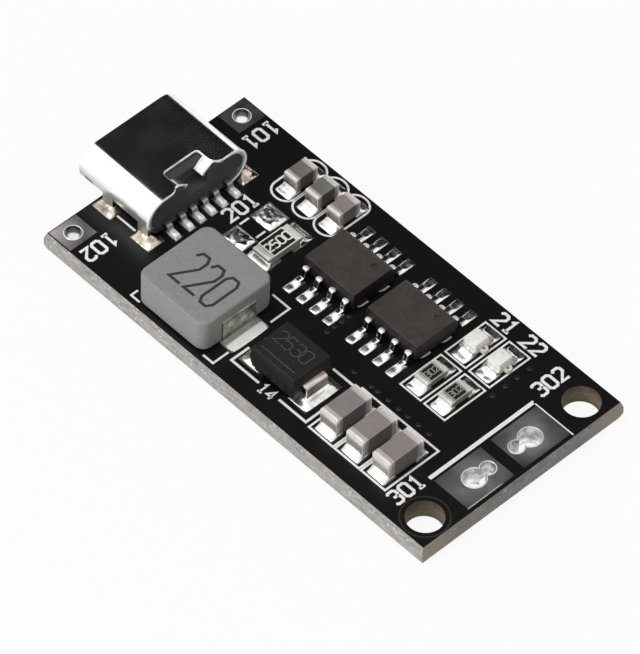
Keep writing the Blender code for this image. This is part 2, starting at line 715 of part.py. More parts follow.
def make_contacts():
    for number, offset in enumerate(contact_offsets, 1):
        path = contact_path(number % 2 == 1, 0.0)
        where = (0, SHELL_CENTRE_Y + offset, 0)
        strip(f"usb_contact_{number}", path, CONTACT_WIDTH, CONTACT_THICKNESS, GOLD, where)


def strap_path(extra):
    """An inductor terminal: out of the body's side, down it and back under the body."""
    out = INDUCTOR_LENGTH / 2 + STRAP_THICKNESS / 2 - STRAP_SINK
    foot_z = seat + STRAP_THICKNESS / 2
    corners = [
        (INDUCTOR_LENGTH / 2 - STRAP_ROOT - extra, board_top + STRAP_TOP),
        (out, board_top + STRAP_TOP),
        (out, foot_z),
        (out - STRAP_FOOT - extra, foot_z),
    ]
    return filleted(corners, STRAP_BEND)


def rise(edge):
    return abs(edge.verts[0].co.z - edge.verts[1].co.z)


def make_inductor():
    bottom = board_top + INDUCTOR_LIFT
    size = (INDUCTOR_LENGTH, INDUCTOR_WIDTH, INDUCTOR_HEIGHT)
    bm = boxes([(size, (0, 0, bottom + INDUCTOR_HEIGHT / 2))])
    half = INDUCTOR_HEIGHT / 2
    upright = [edge for edge in bm.edges if rise(edge) > half]
    bmesh.ops.bevel(bm, geom=upright, offset=INDUCTOR_CORNER, segments=6, profile=0.5, affect="EDGES")
    bm.normal_update()
    rims = [edge for edge in bm.edges if rise(edge) < half]
    bmesh.ops.bevel(bm, geom=rims, offset=INDUCTOR_EDGE, segments=3, profile=0.5, affect="EDGES")
    body = place("inductor_body", bm, IRON_POWDER, (inductor_x, power_y, 0))
    for name, turn in (("inductor_terminal_left", pi), ("inductor_terminal_right", 0.0)):
        where = (inductor_x, power_y, 0)
        strip(name, strap_path(0.0), STRAP_WIDTH, STRAP_THICKNESS, TIN, where, turn)
        width = STRAP_WIDTH + 2 * FIT
        depth = STRAP_THICKNESS + 2 * FIT
        recess = strip("cutter_" + name, strap_path(FIT), width, depth, None, where, turn)
        combine(body, recess, "DIFFERENCE")
    smooth_round(body)


def make_diode():
    bottom = board_top + DIODE_LIFT
    waist = bottom + DIODE_HEIGHT / 2
    bm = waisted_block((DIODE_LENGTH, DIODE_WIDTH, DIODE_HEIGHT), waist, DIODE_DRAFT, bottom)
    body = place("diode_body", bm, EPOXY, (diode_x, power_y, 0))
    round_edges(body, DIODE_EDGE, 2)
    out = diode_half_span - DIODE_LEAD_THICKNESS / 2
    foot_z = seat + DIODE_LEAD_THICKNESS / 2
    corners = [
        (DIODE_LENGTH / 2 - DIODE_LEAD_ROOT, waist),
        (out, waist),
        (out, foot_z),
        (out - DIODE_LEAD_FOOT, foot_z),
    ]
    path = filleted(corners, DIODE_LEAD_BEND)
    roots = []
    for name, side, turn in (("diode_lead_left", -1, pi), ("diode_lead_right", 1, 0.0)):
        strip(name, path, DIODE_LEAD_WIDTH, DIODE_LEAD_THICKNESS, TIN, (diode_x, power_y, 0), turn)
        roots.append(root_box(side, waist))
    combine(body, place("cutter_diode_roots", boxes(roots), None, (diode_x, power_y, 0)), "DIFFERENCE")


def root_box(side, waist):
    """The pocket in the diode body that holds the root of one lead."""
    length = DIODE_LEAD_ROOT + FIT + THROUGH
    size = (length, DIODE_LEAD_WIDTH + 2 * FIT, DIODE_LEAD_THICKNESS + 2 * FIT)
    centre_x = DIODE_LENGTH / 2 - DIODE_LEAD_ROOT - FIT + length / 2
    return size, (side * centre_x, 0, waist)


def lead_offsets():
    first = -LEAD_PITCH * (LEADS_PER_SIDE - 1) / 2
    return [first + LEAD_PITCH * index for index in range(LEADS_PER_SIDE)]


def ic_chamfer_section(top):
    """What the chamfer along the upper edge over the first four leads takes away, across the body."""
    edge = IC_WIDTH / 2 - IC_HEIGHT / 2 * tan(IC_DRAFT)
    return [
        (edge - IC_CHAMFER - THROUGH, top + THROUGH),
        (edge + THROUGH, top - IC_CHAMFER - THROUGH),
        (edge + THROUGH, top + THROUGH),
    ]


def make_ic(number, centre_x):
    bottom = board_top + IC_LIFT
    waist = bottom + IC_HEIGHT / 2
    bm = waisted_block((IC_LENGTH, IC_WIDTH, IC_HEIGHT), waist, IC_DRAFT, bottom)
    body = place(f"ic_{number}_body", bm, EPOXY, (centre_x, ic_y, 0))
    round_edges(body, IC_EDGE, 1)
    chamfer = bmesh.new()
    start = -IC_LENGTH / 2 - THROUGH
    wedge = ic_chamfer_section(bottom + IC_HEIGHT)
    prism(chamfer, [(start, y, z) for y, z in wedge], (-2 * start, 0, 0))
    combine(body, place(f"cutter_ic_{number}_chamfer", chamfer, None, (centre_x, ic_y, 0)), "DIFFERENCE")
    foot_z = seat + LEAD_THICKNESS / 2
    corners = [
        (IC_WIDTH / 2 - LEAD_ROOT, waist),
        (IC_WIDTH / 2 + LEAD_SHOULDER, waist),
        (IC_WIDTH / 2 + LEAD_SHOULDER + LEAD_SLOPE, foot_z),
        (LEAD_SPAN / 2, foot_z),
    ]
    path = filleted(corners, LEAD_BEND)
    length = LEAD_ROOT + FIT + THROUGH
    root_size = (LEAD_WIDTH + 2 * FIT, length, LEAD_THICKNESS + 2 * FIT)
    root_y = IC_WIDTH / 2 - LEAD_ROOT - FIT + length / 2
    roots = []
    pin = 0
    for side, turn in ((-1, -pi / 2), (1, pi / 2)):
        for offset in lead_offsets():
            pin += 1
            where = (centre_x + offset, ic_y, 0)
            strip(f"ic_{number}_lead_{pin}", path, LEAD_WIDTH, LEAD_THICKNESS, TIN, where, turn)
            roots.append((root_size, (offset, side * root_y, waist)))
    combine(body, place(f"cutter_ic_{number}_roots", boxes(roots), None, (centre_x, ic_y, 0)), "DIFFERENCE")
    mark = bmesh.new()
    mark_x = IC_LENGTH / 2 - IC_MARK_INSET
    mark_y = IC_WIDTH / 2 - IC_MARK_INSET
    mark_top = bottom + IC_HEIGHT
    cylinder(mark, IC_MARK_DIAMETER, 2 * IC_MARK_DEPTH, (mark_x, mark_y, mark_top), MARK_STEPS)
    combine(body, place(f"cutter_ic_{number}_mark", mark, None, (centre_x, ic_y, 0)), "DIFFERENCE")


def chip(name, x, y, size, finish):
    """A fired chip lying along Y: a core with a plated cap round each end. Its size is length, width,
    height, cap length and cap rounding."""
    length, width, height, cap_length, cap_edge = size
    middle = seat + height / 2
    core_size = (width - 2 * CAP_PLATE, length - 2 * CAP_PLATE, height - 2 * CAP_PLATE)
    item = place(name, boxes([(core_size, (0, 0, middle))]), finish, (x, y, 0))
    caps = []
    for side in (-1, 1):
        caps.append(((width, cap_length, height), (0, side * (length - cap_length) / 2, middle)))
    ends = place("cutter_ends_" + name, boxes(caps), None, (x, y, 0))
    round_edges(ends, cap_edge, 2)
    combine(item, ends, "UNION")
    return item


def resistor(name, x, y, size):
    """A chip whose top carries a thin black glaze between its caps."""
    length, width, height, cap_length, cap_edge = size
    item = chip(name, x, y, size, ALUMINA)
    top = seat + height + GLAZE_THICKNESS
    glaze_length = length - 2 * cap_length + GLAZE_MARGIN
    glaze_depth = 2 * GLAZE_THICKNESS + CAP_PLATE
    glaze_size = (width - 2 * GLAZE_MARGIN, glaze_length, glaze_depth)
    glaze = boxes([(glaze_size, (0, 0, top - glaze_depth / 2))])
    combine(item, place("cutter_glaze_" + name, glaze, None, (x, y, 0)), "UNION")


def make_led(number, x):
    base_size = (SMALL_WIDTH, SMALL_LENGTH, LED_BASE_HEIGHT)
    slab = boxes([(base_size, (0, 0, seat + LED_BASE_HEIGHT / 2))])
    base = place(f"led_{number}_base", slab, LED_BOARD, (x, led_y, 0))
    ends = bmesh.new()
    for side in (-1, 1):
        centre = (0, side * SMALL_LENGTH / 2, seat)
        cylinder(ends, 2 * LED_END_NOTCH, THROUGH, centre, MARK_STEPS)
    combine(base, place(f"cutter_led_{number}_ends", ends, None, (x, led_y, 0)), "DIFFERENCE")
    tab_centre = (SMALL_WIDTH / 2 + LED_TAB_REACH - LED_TAB_WIDTH / 2, 0, seat + LED_BASE_HEIGHT / 2)
    tab = bmesh.new()
    cylinder(tab, LED_TAB_WIDTH, LED_TAB_THICKNESS, tab_centre, MARK_STEPS)
    combine(base, place(f"cutter_led_{number}_tab", tab, None, (x, led_y, 0)), "UNION")
    tab_hole = bmesh.new()
    cylinder(tab_hole, LED_TAB_HOLE, THROUGH, tab_centre, MARK_STEPS)
    combine(base, place(f"cutter_led_{number}_tab_hole", tab_hole, None, (x, led_y, 0)), "DIFFERENCE")
    bottom = seat + LED_BASE_HEIGHT + FIT
    lens_size = (SMALL_WIDTH - 2 * FIT, LED_LENS_LENGTH, LED_LENS_HEIGHT)
    lens = place(
        f"led_{number}_lens",
        waisted_block(lens_size, bottom, LED_LENS_DRAFT, bottom),
        LED_RESIN,
        (x, led_y, 0),
    )
    round_edges(lens, LED_LENS_EDGE, 2)


def main():
    make_board()
    make_shell()
    make_housing()
    make_contacts()
    make_inductor()
    make_diode()
    make_ic(1, ic_x)
    make_ic(2, ic_x + ic_pitch)
    small_caps = (SMALL_CAP_LENGTH, SMALL_CAP_EDGE)
    small_capacitor = (SMALL_LENGTH, SMALL_WIDTH, SMALL_CAPACITOR_HEIGHT, *small_caps)
    for index in range(INPUT_CAPACITORS):
        finish = WARM_CERAMIC if index == INPUT_CAPACITORS - 1 else GREY_CERAMIC
        x = input_x + index * input_pitch
        chip(f"input_capacitor_{index + 1}", x, input_y, small_capacitor, finish)
    large_caps = (LARGE_CAP_LENGTH, LARGE_CAP_EDGE)
    large_capacitor = (LARGE_LENGTH, LARGE_WIDTH, LARGE_CAPACITOR_HEIGHT, *large_caps)
    for index in range(OUTPUT_CAPACITORS):
        finish = GREY_CERAMIC if index == 0 else WARM_CERAMIC
        x = output_x + index * output_pitch
        chip(f"output_capacitor_{index + 1}", x, power_y, large_capacitor, finish)
    sense_size = (LARGE_LENGTH, LARGE_WIDTH, LARGE_RESISTOR_HEIGHT, LARGE_CAP_LENGTH, SMALL_CAP_EDGE)
    resistor("sense_resistor", sense_x, sense_y, sense_size)
    small_resistor = (SMALL_LENGTH, SMALL_WIDTH, SMALL_RESISTOR_HEIGHT, *small_caps)
    for index in range(LED_COUNT):
        x = led_x + index * led_pitch
        make_led(index + 1, x)
        resistor(f"led_{index + 1}_resistor", x, led_resistor_y, small_resistor)


clear_scene()
parts = new_collection("battery_charger_module")
cutters = new_collection("cutters")
main()
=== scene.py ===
"""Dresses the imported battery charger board: finishes for its CAD nodes, the solder on its pads, the white
print on its mask and the plain studio that it is shown in. All lengths are metres."""

from functools import reduce
from math import atan2, cos, exp, hypot, pi, radians, sin

import bmesh
import bpy
from mathutils import Matrix, Vector, noise


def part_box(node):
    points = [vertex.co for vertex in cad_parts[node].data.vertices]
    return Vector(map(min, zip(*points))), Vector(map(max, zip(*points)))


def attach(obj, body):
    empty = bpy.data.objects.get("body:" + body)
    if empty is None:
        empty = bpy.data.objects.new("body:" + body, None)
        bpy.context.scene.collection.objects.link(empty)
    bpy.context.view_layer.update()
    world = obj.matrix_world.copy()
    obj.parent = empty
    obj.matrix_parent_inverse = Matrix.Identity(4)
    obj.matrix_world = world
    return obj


bl_info = {
    "name": "Battery charger board",
    "version": (1, 0, 0),
    "blender": (4, 5, 0),
    "location": "3D View > Sidebar > Charger board",
    "description": "Finishes, solder, print and studio for a small battery charger board",
    "category": "Object",
}

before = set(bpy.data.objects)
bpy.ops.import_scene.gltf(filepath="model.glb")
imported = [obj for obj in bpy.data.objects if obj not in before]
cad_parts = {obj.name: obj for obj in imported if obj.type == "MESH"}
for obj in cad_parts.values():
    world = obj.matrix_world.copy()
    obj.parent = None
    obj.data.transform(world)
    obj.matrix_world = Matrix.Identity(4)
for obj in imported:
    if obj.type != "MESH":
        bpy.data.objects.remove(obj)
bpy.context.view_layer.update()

MM = 0.001
ORIGIN = (0, 0, 0)


def mm(*values):
    """Millimetres as metres."""
    return [value * MM for value in values]


# Levels of the board that the solder and the print stand on
BOARD_TOP = 1.6 * MM
PAD_TOP = 1.635 * MM

# Pads that carry no node of their own, and their holes with a radius each
CORNER_PAD = mm(-16.935, 7.71)
WIRE_HOLES = ((CORNER_PAD, 0.6 * MM),)
BATTERY_PAD = mm(16.185, 2.55)
BATTERY_HOLES = ((BATTERY_PAD, 0.81 * MM), (mm(16.185, 1.31), 0.54 * MM))
FIXING_HOLE = mm(16.315, 7.14)
FIXING_RADIUS = 1.33 * MM
LEG_X = mm(-16.985, -13.485)
LEG_Y = 4.32 * MM
LEG_SLOT = 0.6 * MM
RECEPTACLE_Y = -0.1 * MM

# Sizes of the soldered pads along X and Y; the empty pair's place, and the ICs' rows' reach from the middle
IC_PAD = mm(0.7, 1.46)
IC_PAD_Y = 3.25 * MM
TAIL_PAD = mm(1.16, 0.5)
LEG_PAD = mm(1.75, 1.45)
LEG_FOOT = mm(1.0, 0.3)
CHIP_PAD_LENGTH = 1.2 * MM
EMPTY_PAD = mm(1.9, 1.75)
EMPTY_PAD_X = -9.085 * MM
EMPTY_PAD_Y = 1.475 * MM

# How far the snapped edge's laminate reaches in, and a mask edge too sharp to be seen
BROKEN_EDGE = 0.1655 * MM
SHARP = 0.004 * MM

# Tones of the laminate's torn middle, tan patches, pits and chips, and its tan corners as shares of its own
TORN_FIBRE = (0.45, 0.44, 0.41)
TAN_FIBRE = (0.36, 0.3, 0.25)
FIBRE_PIT = (0.2, 0.18, 0.16)
FIBRE_CHIP = (0.78, 0.77, 0.75)
TAN_SHARES = (1.4, 1.25, 1.0)

# Tones of the ring round the near fixing hole, the painted highlight on the pads, the battery holes' lining
# and the painted highlight on the wire holes' far walls
MASK_RING = (0.045, 0.042, 0.04)
PAD_HIGHLIGHT = (0.85, 0.8, 0.77)
LINING = (0.9, 0.89, 0.88)
WALL_HIGHLIGHT = (0.98, 0.98, 0.97)

# One stroke or more for each digit, in a cell 0.6 wide and 1 high
DIGITS = {
    "0": [
        [(0.14, 0), (0.46, 0), (0.6, 0.14), (0.6, 0.86), (0.46, 1), (0.14, 1), (0, 0.86), (0, 0.14)]
        + [(0.14, 0)],
    ],
    "1": [[(0.08, 0.78), (0.3, 1), (0.3, 0)], [(0.08, 0), (0.52, 0)]],
    "2": [[(0, 0.84), (0.14, 1), (0.46, 1), (0.6, 0.86), (0.6, 0.62), (0, 0.02), (0.6, 0.02)]],
    "3": [
        [(0, 0.88), (0.12, 1), (0.46, 1), (0.6, 0.88), (0.6, 0.64), (0.46, 0.53), (0.2, 0.53)],
        [(0.46, 0.53), (0.6, 0.42), (0.6, 0.13), (0.46, 0), (0.12, 0), (0, 0.12)],
    ],
    "4": [[(0.46, 0), (0.46, 1), (0, 0.3), (0.62, 0.3)]],
    "5": [
        [(0.56, 1), (0.04, 1), (0, 0.54), (0.42, 0.58), (0.6, 0.44), (0.6, 0.14), (0.46, 0), (0.1, 0)]
        + [(0, 0.1)],
    ],
}


def setting(kind, words, default, **others):
    """A setting of one kind, named and described by the same words."""
    name = words[0].upper() + words[1:]
    return kind(name=name, description=f"Sets the {words}", default=default, **others)


def tint(words, default):
    kind = bpy.props.FloatVectorProperty
    return setting(kind, f"colour of the {words}", default, subtype="COLOR", size=3, min=0.0, max=1.0)


def metres(words, default):
    return setting(bpy.props.FloatProperty, words, default, unit="LENGTH", subtype="DISTANCE", precision=6)


def level(words, default):
    return setting(bpy.props.FloatProperty, f"level of the {words}", default, min=0.0)


class ChargerBoardSettings(bpy.types.PropertyGroup):
    mask: tint("black solder mask", (0.0052, 0.0047, 0.0046))
    laminate: tint("broken laminate edge", (0.39, 0.38, 0.36))
    hole_wall: tint("bare wall of a fixing hole", (0.17, 0.145, 0.1))
    print_ink: tint("printed lines and numbers", (0.95, 0.95, 0.93))
    plating: tint("tinned walls of the holes", (0.42, 0.41, 0.4))
    pad: tint("flat tinned pads", (0.4, 0.39, 0.375))
    line_width: metres("width of a printed outline", 0.16 * MM)
    ink_height: metres("height of the print above the mask", 0.012 * MM)
    number_height: metres("height of a printed number", 1.1 * MM)
    number_stroke: metres("width of a number's stroke", 0.215 * MM)


class ChargerMetalSettings(bpy.types.PropertyGroup):
    tin: tint("inductor's straps", (0.45, 0.45, 0.385))
    cap: tint("chips' fired ends", (0.5, 0.445, 0.41))
    solder: tint("fresh solder", (0.88, 0.88, 0.85))
    leg_solder: tint("solder round the shell's legs", (0.76, 0.65, 0.52))
    steel: tint("receptacle's plated sheet", (0.92, 0.92, 0.92))
    plating: tint("contact tails", (0.97, 0.96, 0.93))
    crown: metres("swell of a bare solder film", 0.05 * MM)
    rim_width: metres("thickness of the rim round a plated hole", 0.09 * MM)


class ChargerBodySettings(bpy.types.PropertyGroup):
    powder: tint("inductor's pressed powder", (0.29, 0.285, 0.275))
    engraving: tint("inductor's burnt number", (0.02, 0.019, 0.018))
    epoxy: tint("ICs' moulded bodies", (0.048, 0.042, 0.038))
    diode: tint("diode's moulded body", (0.008, 0.0077, 0.0073))
    resin: tint("receptacle's housing", (0.045, 0.043, 0.04))
    grey_ceramic: tint("greyer capacitors", (0.25, 0.235, 0.225))
    brown_ceramic: tint("browner capacitors", (0.29, 0.245, 0.235))
    alumina: tint("resistors' ceramic", (0.42, 0.42, 0.34))
    glaze: tint("resistors' glaze", (0.012, 0.012, 0.012))
    lens: tint("LEDs' resin", (1.0, 0.99, 0.92))


class ChargerStageSettings(bpy.types.PropertyGroup):
    floor: tint("floor", (0.97, 0.97, 0.97))
    key: level("lamp at the front", 1.0)
    top: level("lamp above", 1.0)
    sky: level("light from all round", 0.45)


class Value:
    """A number or colour in a shader tree. A sum on it adds the node that works it out."""

    def __init__(self, socket):
        self.socket = socket
        self.tree = socket.id_data

    def calc(self, operation, *others, clamp=False):
        inputs = dict(enumerate((self, *others)))
        node = add(self.tree, "ShaderNodeMath", inputs, operation=operation, use_clamp=clamp)
        return Value(node.outputs[0])

    def __add__(self, other):
        return self.calc("ADD", other)

    def __sub__(self, other):
        return self.calc("SUBTRACT", other)

    def __rsub__(self, other):
        return self * -1.0 + other

    def __mul__(self, other):
        return self.calc("MULTIPLY", other)

    def __abs__(self):
        return self.calc("ABSOLUTE")

    def over(self, other):
        """The greater of the two."""
        return self.calc("MAXIMUM", other)

    def fade(self, start, end):
        """0 where the value is at start or before, 1 at end or past it, smooth between."""
        inputs = {"Value": self, "From Min": start, "From Max": end}
        node = add(self.tree, "ShaderNodeMapRange", inputs, interpolation_type="SMOOTHSTEP")
        return Value(node.outputs["Result"])


def give(socket, value):
    """Link a value or a socket to a socket, or set a plain number or colour on it."""
    source = getattr(value, "socket", value)
    if isinstance(source, bpy.types.NodeSocket):
        socket.id_data.links.new(source, socket)
    elif socket.type == "RGBA":
        socket.default_value = (*source[:3], 1.0)
    else:
        socket.default_value = source


def add(tree, kind, inputs=None, **settings):
    """Add a node with its settings and its inputs."""
    node = tree.nodes.new(kind)
    for name, value in settings.items():
        setattr(node, name, value)
    for key, value in (inputs or {}).items():
        give(node.inputs[key], value)
    return node


def blend(factor, first, second):
    """One number, or the other as the factor goes to 1."""
    return Value(add(factor.tree, "ShaderNodeMix", {0: factor, 2: first, 3: second}).outputs[0])


def mixed(factor, first, second):
    """One colour, or the other as the factor goes to 1."""
    inputs = {0: factor, 6: first, 7: second}
    return Value(add(factor.tree, "ShaderNodeMix", inputs, data_type="RGBA").outputs[2])


def shaded(colour, *shades):
    """A colour made lighter or darker by values about 1."""
    for shade in shades:
        colour = vector_sum(shade.tree, "SCALE", {0: colour, "Scale": shade})
    return colour


def vector_sum(tree, operation, inputs, output=0):
    return Value(add(tree, "ShaderNodeVectorMath", inputs, operation=operation).outputs[output])


def scaled(colour, shares):
    """A plain colour times one share, or times a share for each channel."""
    if isinstance(shares, float):
        shares = (shares, shares, shares)
    return [value * share for value, share in zip(colour, shares)]


def effect(name, outputs, **inputs):
    """A new shared effect: its inputs as values, and the sockets that take its outputs."""
    tree = bpy.data.node_groups.new(name, "ShaderNodeTree")
    for label, value in inputs.items():
        kind = "NodeSocketFloat" if isinstance(value, float) else "NodeSocketVector"
        tree.interface.new_socket(label, in_out="INPUT", socket_type=kind).default_value = value
    for label in outputs:
        tree.interface.new_socket(label, in_out="OUTPUT", socket_type="NodeSocketFloat")
    given = tree.nodes.new("NodeGroupInput").outputs
    return [Value(given[label]) for label in inputs], tree.nodes.new("NodeGroupOutput").inputs


def clouds(place, scale, detail):
    inputs = {"Vector": place, "Scale": scale, "Detail": detail}
    return Value(add(place.tree, "ShaderNodeTexNoise", inputs).outputs["Fac"])


def make_grain():
    """Fine grain: a shade about 1 for the colour, and a height for the bump."""
    inputs = {"Place": ORIGIN, "Scale": 4000.0, "Contrast": 0.2}
    (place, scale, contrast), out = effect("fine grain", ("Shade", "Height"), **inputs)
    fine = clouds(place, scale, 4.0)
    give(out["Shade"], (fine - 0.5) * contrast + 1.0)
    give(out["Height"], fine)


def make_specks():
    """Scattered specks: a mask that is 1 on them."""
    (place, scale, share), out = effect("specks", ("Mask",), Place=ORIGIN, Scale=3000.0, Share=0.1)
    cells = add(place.tree, "ShaderNodeTexVoronoi", {"Vector": place, "Scale": scale}).outputs
    lot = Value(add(place.tree, "ShaderNodeSeparateColor", {"Color": cells["Color"]}).outputs["Red"])
    give(out["Mask"], lot.calc("LESS_THAN", share) * Value(cells["Distance"]).fade(0.45, 0.2))


def make_past():
    """A mask that is 1 where a coordinate is more than Reach from Middle."""
    inputs = {"Along": 0.0, "Middle": 0.0, "Reach": 0.001, "Blur": 0.00002}
    (along, centre, reach, blur), out = effect("past a reach", ("Mask",), **inputs)
    give(out["Mask"], (abs(along - centre) - reach).calc("DIVIDE", blur, clamp=True))


def make_disc():
    """A mask that is 1 within Radius of a centre in plan."""
    inputs = {"Place": ORIGIN, "Centre": ORIGIN, "Radius": 0.001, "Blur": 0.00003}
    (place, centre, radius, blur), out = effect("disc in plan", ("Mask",), **inputs)
    flat = vector_sum(place.tree, "MULTIPLY", {0: place, 1: (1, 1, 0)})
    away = vector_sum(place.tree, "DISTANCE", {0: flat, 1: centre}, "Value")
    give(out["Mask"], (radius - away).calc("DIVIDE", blur, clamp=True))


def make_mottle():
    """Wavy tinned metal: dull and clear patches, a roughness and a height."""
    inputs = {"Place": ORIGIN, "Scale": 900.0, "Dull": 0.3, "Clear": 0.15, "Swing": 0.3}
    outputs = ("Shade", "Roughness", "Height")
    (place, scale, dull, clear, swing), out = effect("mottled metal", outputs, **inputs)
    wide = clouds(place, scale, 3.0)
    patch = wide.fade(0.3, 0.7)
    give(out["Shade"], 1.1 - patch * swing)
    give(out["Roughness"], patch * (dull - clear) + clear)
    give(out["Height"], wide)


def new_material(name):
    material = bpy.data.materials.new(name)
    material.use_nodes = True
    return material, material.node_tree


class Finish:
    """A new material that knows the place on the object, in metres, and the way its surface faces."""

    def __init__(self, name):
        self.material, self.tree = new_material(name)
        self.shader = self.tree.nodes["Principled BSDF"].inputs
        coordinates = self.tree.nodes.new("ShaderNodeTexCoord").outputs
        self.place = coordinates["Object"]
        self.across = self.axes(self.place)
        self.facing = self.axes(coordinates["Normal"])

    def axes(self, vector):
        return [Value(part) for part in add(self.tree, "ShaderNodeSeparateXYZ", {"Vector": vector}).outputs]

    def spot(self, x, y):
        return add(self.tree, "ShaderNodeCombineXYZ", {"X": x, "Y": y}).outputs[0]

    def use(self, group, **inputs):
        """Put a shared effect in with its own values, at the place on the object or another one."""
        node = add(self.tree, "ShaderNodeGroup", node_tree=bpy.data.node_groups[group])
        if "Place" in node.inputs:
            inputs = {"Place": self.place, **inputs}
        for key, value in inputs.items():
            give(node.inputs[key], value)
        return {output.name: Value(output) for output in node.outputs}

    def grain(self, scale, contrast, **inputs):
        return self.use("fine grain", Scale=scale, Contrast=contrast, **inputs)

    def specks(self, scale, share):
        return self.use("specks", Scale=scale, Share=share)["Mask"]

    def past(self, along, reach, blur, centre=0.0):
        return self.use("past a reach", Along=along, Middle=centre, Reach=reach, Blur=blur)["Mask"]

    def disc(self, centre, radius, blur, **inputs):
        return self.use("disc in plan", Centre=(*centre, 0), Radius=radius, Blur=blur, **inputs)["Mask"]

    def done(self, colour, rough, height, depth, strength=0.5, metal=0.0, specular=0.5):
        """Give the shader its colour, roughness and relief, and return the material."""
        give(self.shader["Base Color"], colour)
        give(self.shader["Roughness"], rough)
        give(self.shader["Metallic"], metal)
        give(self.shader["Specular IOR Level"], specular)
        inputs = {"Height": height, "Distance": depth, "Strength": strength}
        give(self.shader["Normal"], add(self.tree, "ShaderNodeBump", inputs).outputs["Normal"])
        return self.material


def finish_node(node, finish, edge=0.0, smooth=True, split=38):
    """Give a CAD node its finish. Its facets are joined and shaded smooth between the sharp edges, which
    are lightly broken where edge is given."""
    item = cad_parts[node]
    item.data.materials.clear()
    item.data.materials.append(finish)
    if not smooth:
        return
    item.data.shade_smooth()
    item.modifiers.new("joined facets", "WELD").merge_threshold = 0.001 * MM
    if edge:
        bevel = item.modifiers.new("broken edges", "BEVEL")
        bevel.width = edge
        bevel.segments = 3
        bevel.limit_method = "ANGLE"
        bevel.angle_limit = radians(50)
    item.modifiers.new("sharp edges", "EDGE_SPLIT").split_angle = radians(split)
    item.modifiers.new("even shading", "WEIGHTED_NORMAL").weight = 100


def middle(node):
    low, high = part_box(node)
    return (Vector(low) + Vector(high)) / 2


def put(name, data):
    """A new object in the scene."""
    item = bpy.data.objects.new(name, data)
    bpy.context.scene.collection.objects.link(item)
    return item


def put_mesh(name, bm, finish):
    mesh = bpy.data.meshes.new(name)
    bm.to_mesh(mesh)
    bm.free()
    mesh.materials.append(finish)
    return put(name, mesh)


def new_piece(name, bm, finish, smooth=False):
    bmesh.ops.recalc_face_normals(bm, faces=bm.faces[:])
    piece = put_mesh(name, bm, finish)
    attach(piece, "root")
    if smooth:
        piece.data.shade_smooth()


def plated_holes(finish, mirrored):
    """Masks that are 1 on the walls of the tinned holes and leg slots, and of the fixing holes."""
    x, y, z = finish.across
    legs = finish.spot(x, abs(y - RECEPTACLE_Y))
    rows = [(mirrored, *hole) for hole in (*WIRE_HOLES, *BATTERY_HOLES)]
    rows += [(legs, (leg, LEG_Y), LEG_SLOT) for leg in LEG_X]
    masks = [finish.disc(centre, radius + 0.02 * MM, SHARP, Place=place) for place, centre, radius in rows]
    below = z.fade(PAD_TOP - 0.001 * MM, PAD_TOP - 0.003 * MM)
    above = z.fade(0.001 * MM, 0.003 * MM)
    bare = finish.disc(FIXING_HOLE, FIXING_RADIUS + SHARP, SHARP, Place=mirrored)
    return reduce(Value.over, masks) * (below * above), bare


def laminate(finish, settings, end):
    """Broken laminate: layers along the board, torn paler down its middle, with tan patches, pits and
    chips. Its end carries painted shade, and it is tan towards the corners."""
    flattened = vector_sum(finish.tree, "MULTIPLY", {0: finish.place, 1: (1.0, 1.0, 2.6)})
    layers = finish.grain(1900.0, 1.3, Place=flattened)
    patches = finish.grain(520.0, 0.7)
    fibre = shaded(settings.laminate, layers["Shade"], patches["Shade"])
    for mask, share, tone in (
        (abs(finish.across[2] - BOARD_TOP / 2).fade(0.34 * MM, 0.26 * MM), 0.3, TORN_FIBRE),
        (patches["Height"].fade(0.5, 0.68), 0.55, TAN_FIBRE),
        (finish.specks(4600.0, 0.34), 0.6, FIBRE_PIT),
        (finish.specks(3700.0, 0.26), 0.55, FIBRE_CHIP),
        (end * abs(finish.across[1]).fade(5.8 * MM, 8.0 * MM), 0.75, scaled(settings.laminate, TAN_SHARES)),
    ):
        fibre = mixed(mask * share, fibre, tone)
    # Painted shade on the board's end face
    return shaded(fibre, end * -0.36 + 1.0), layers, patches


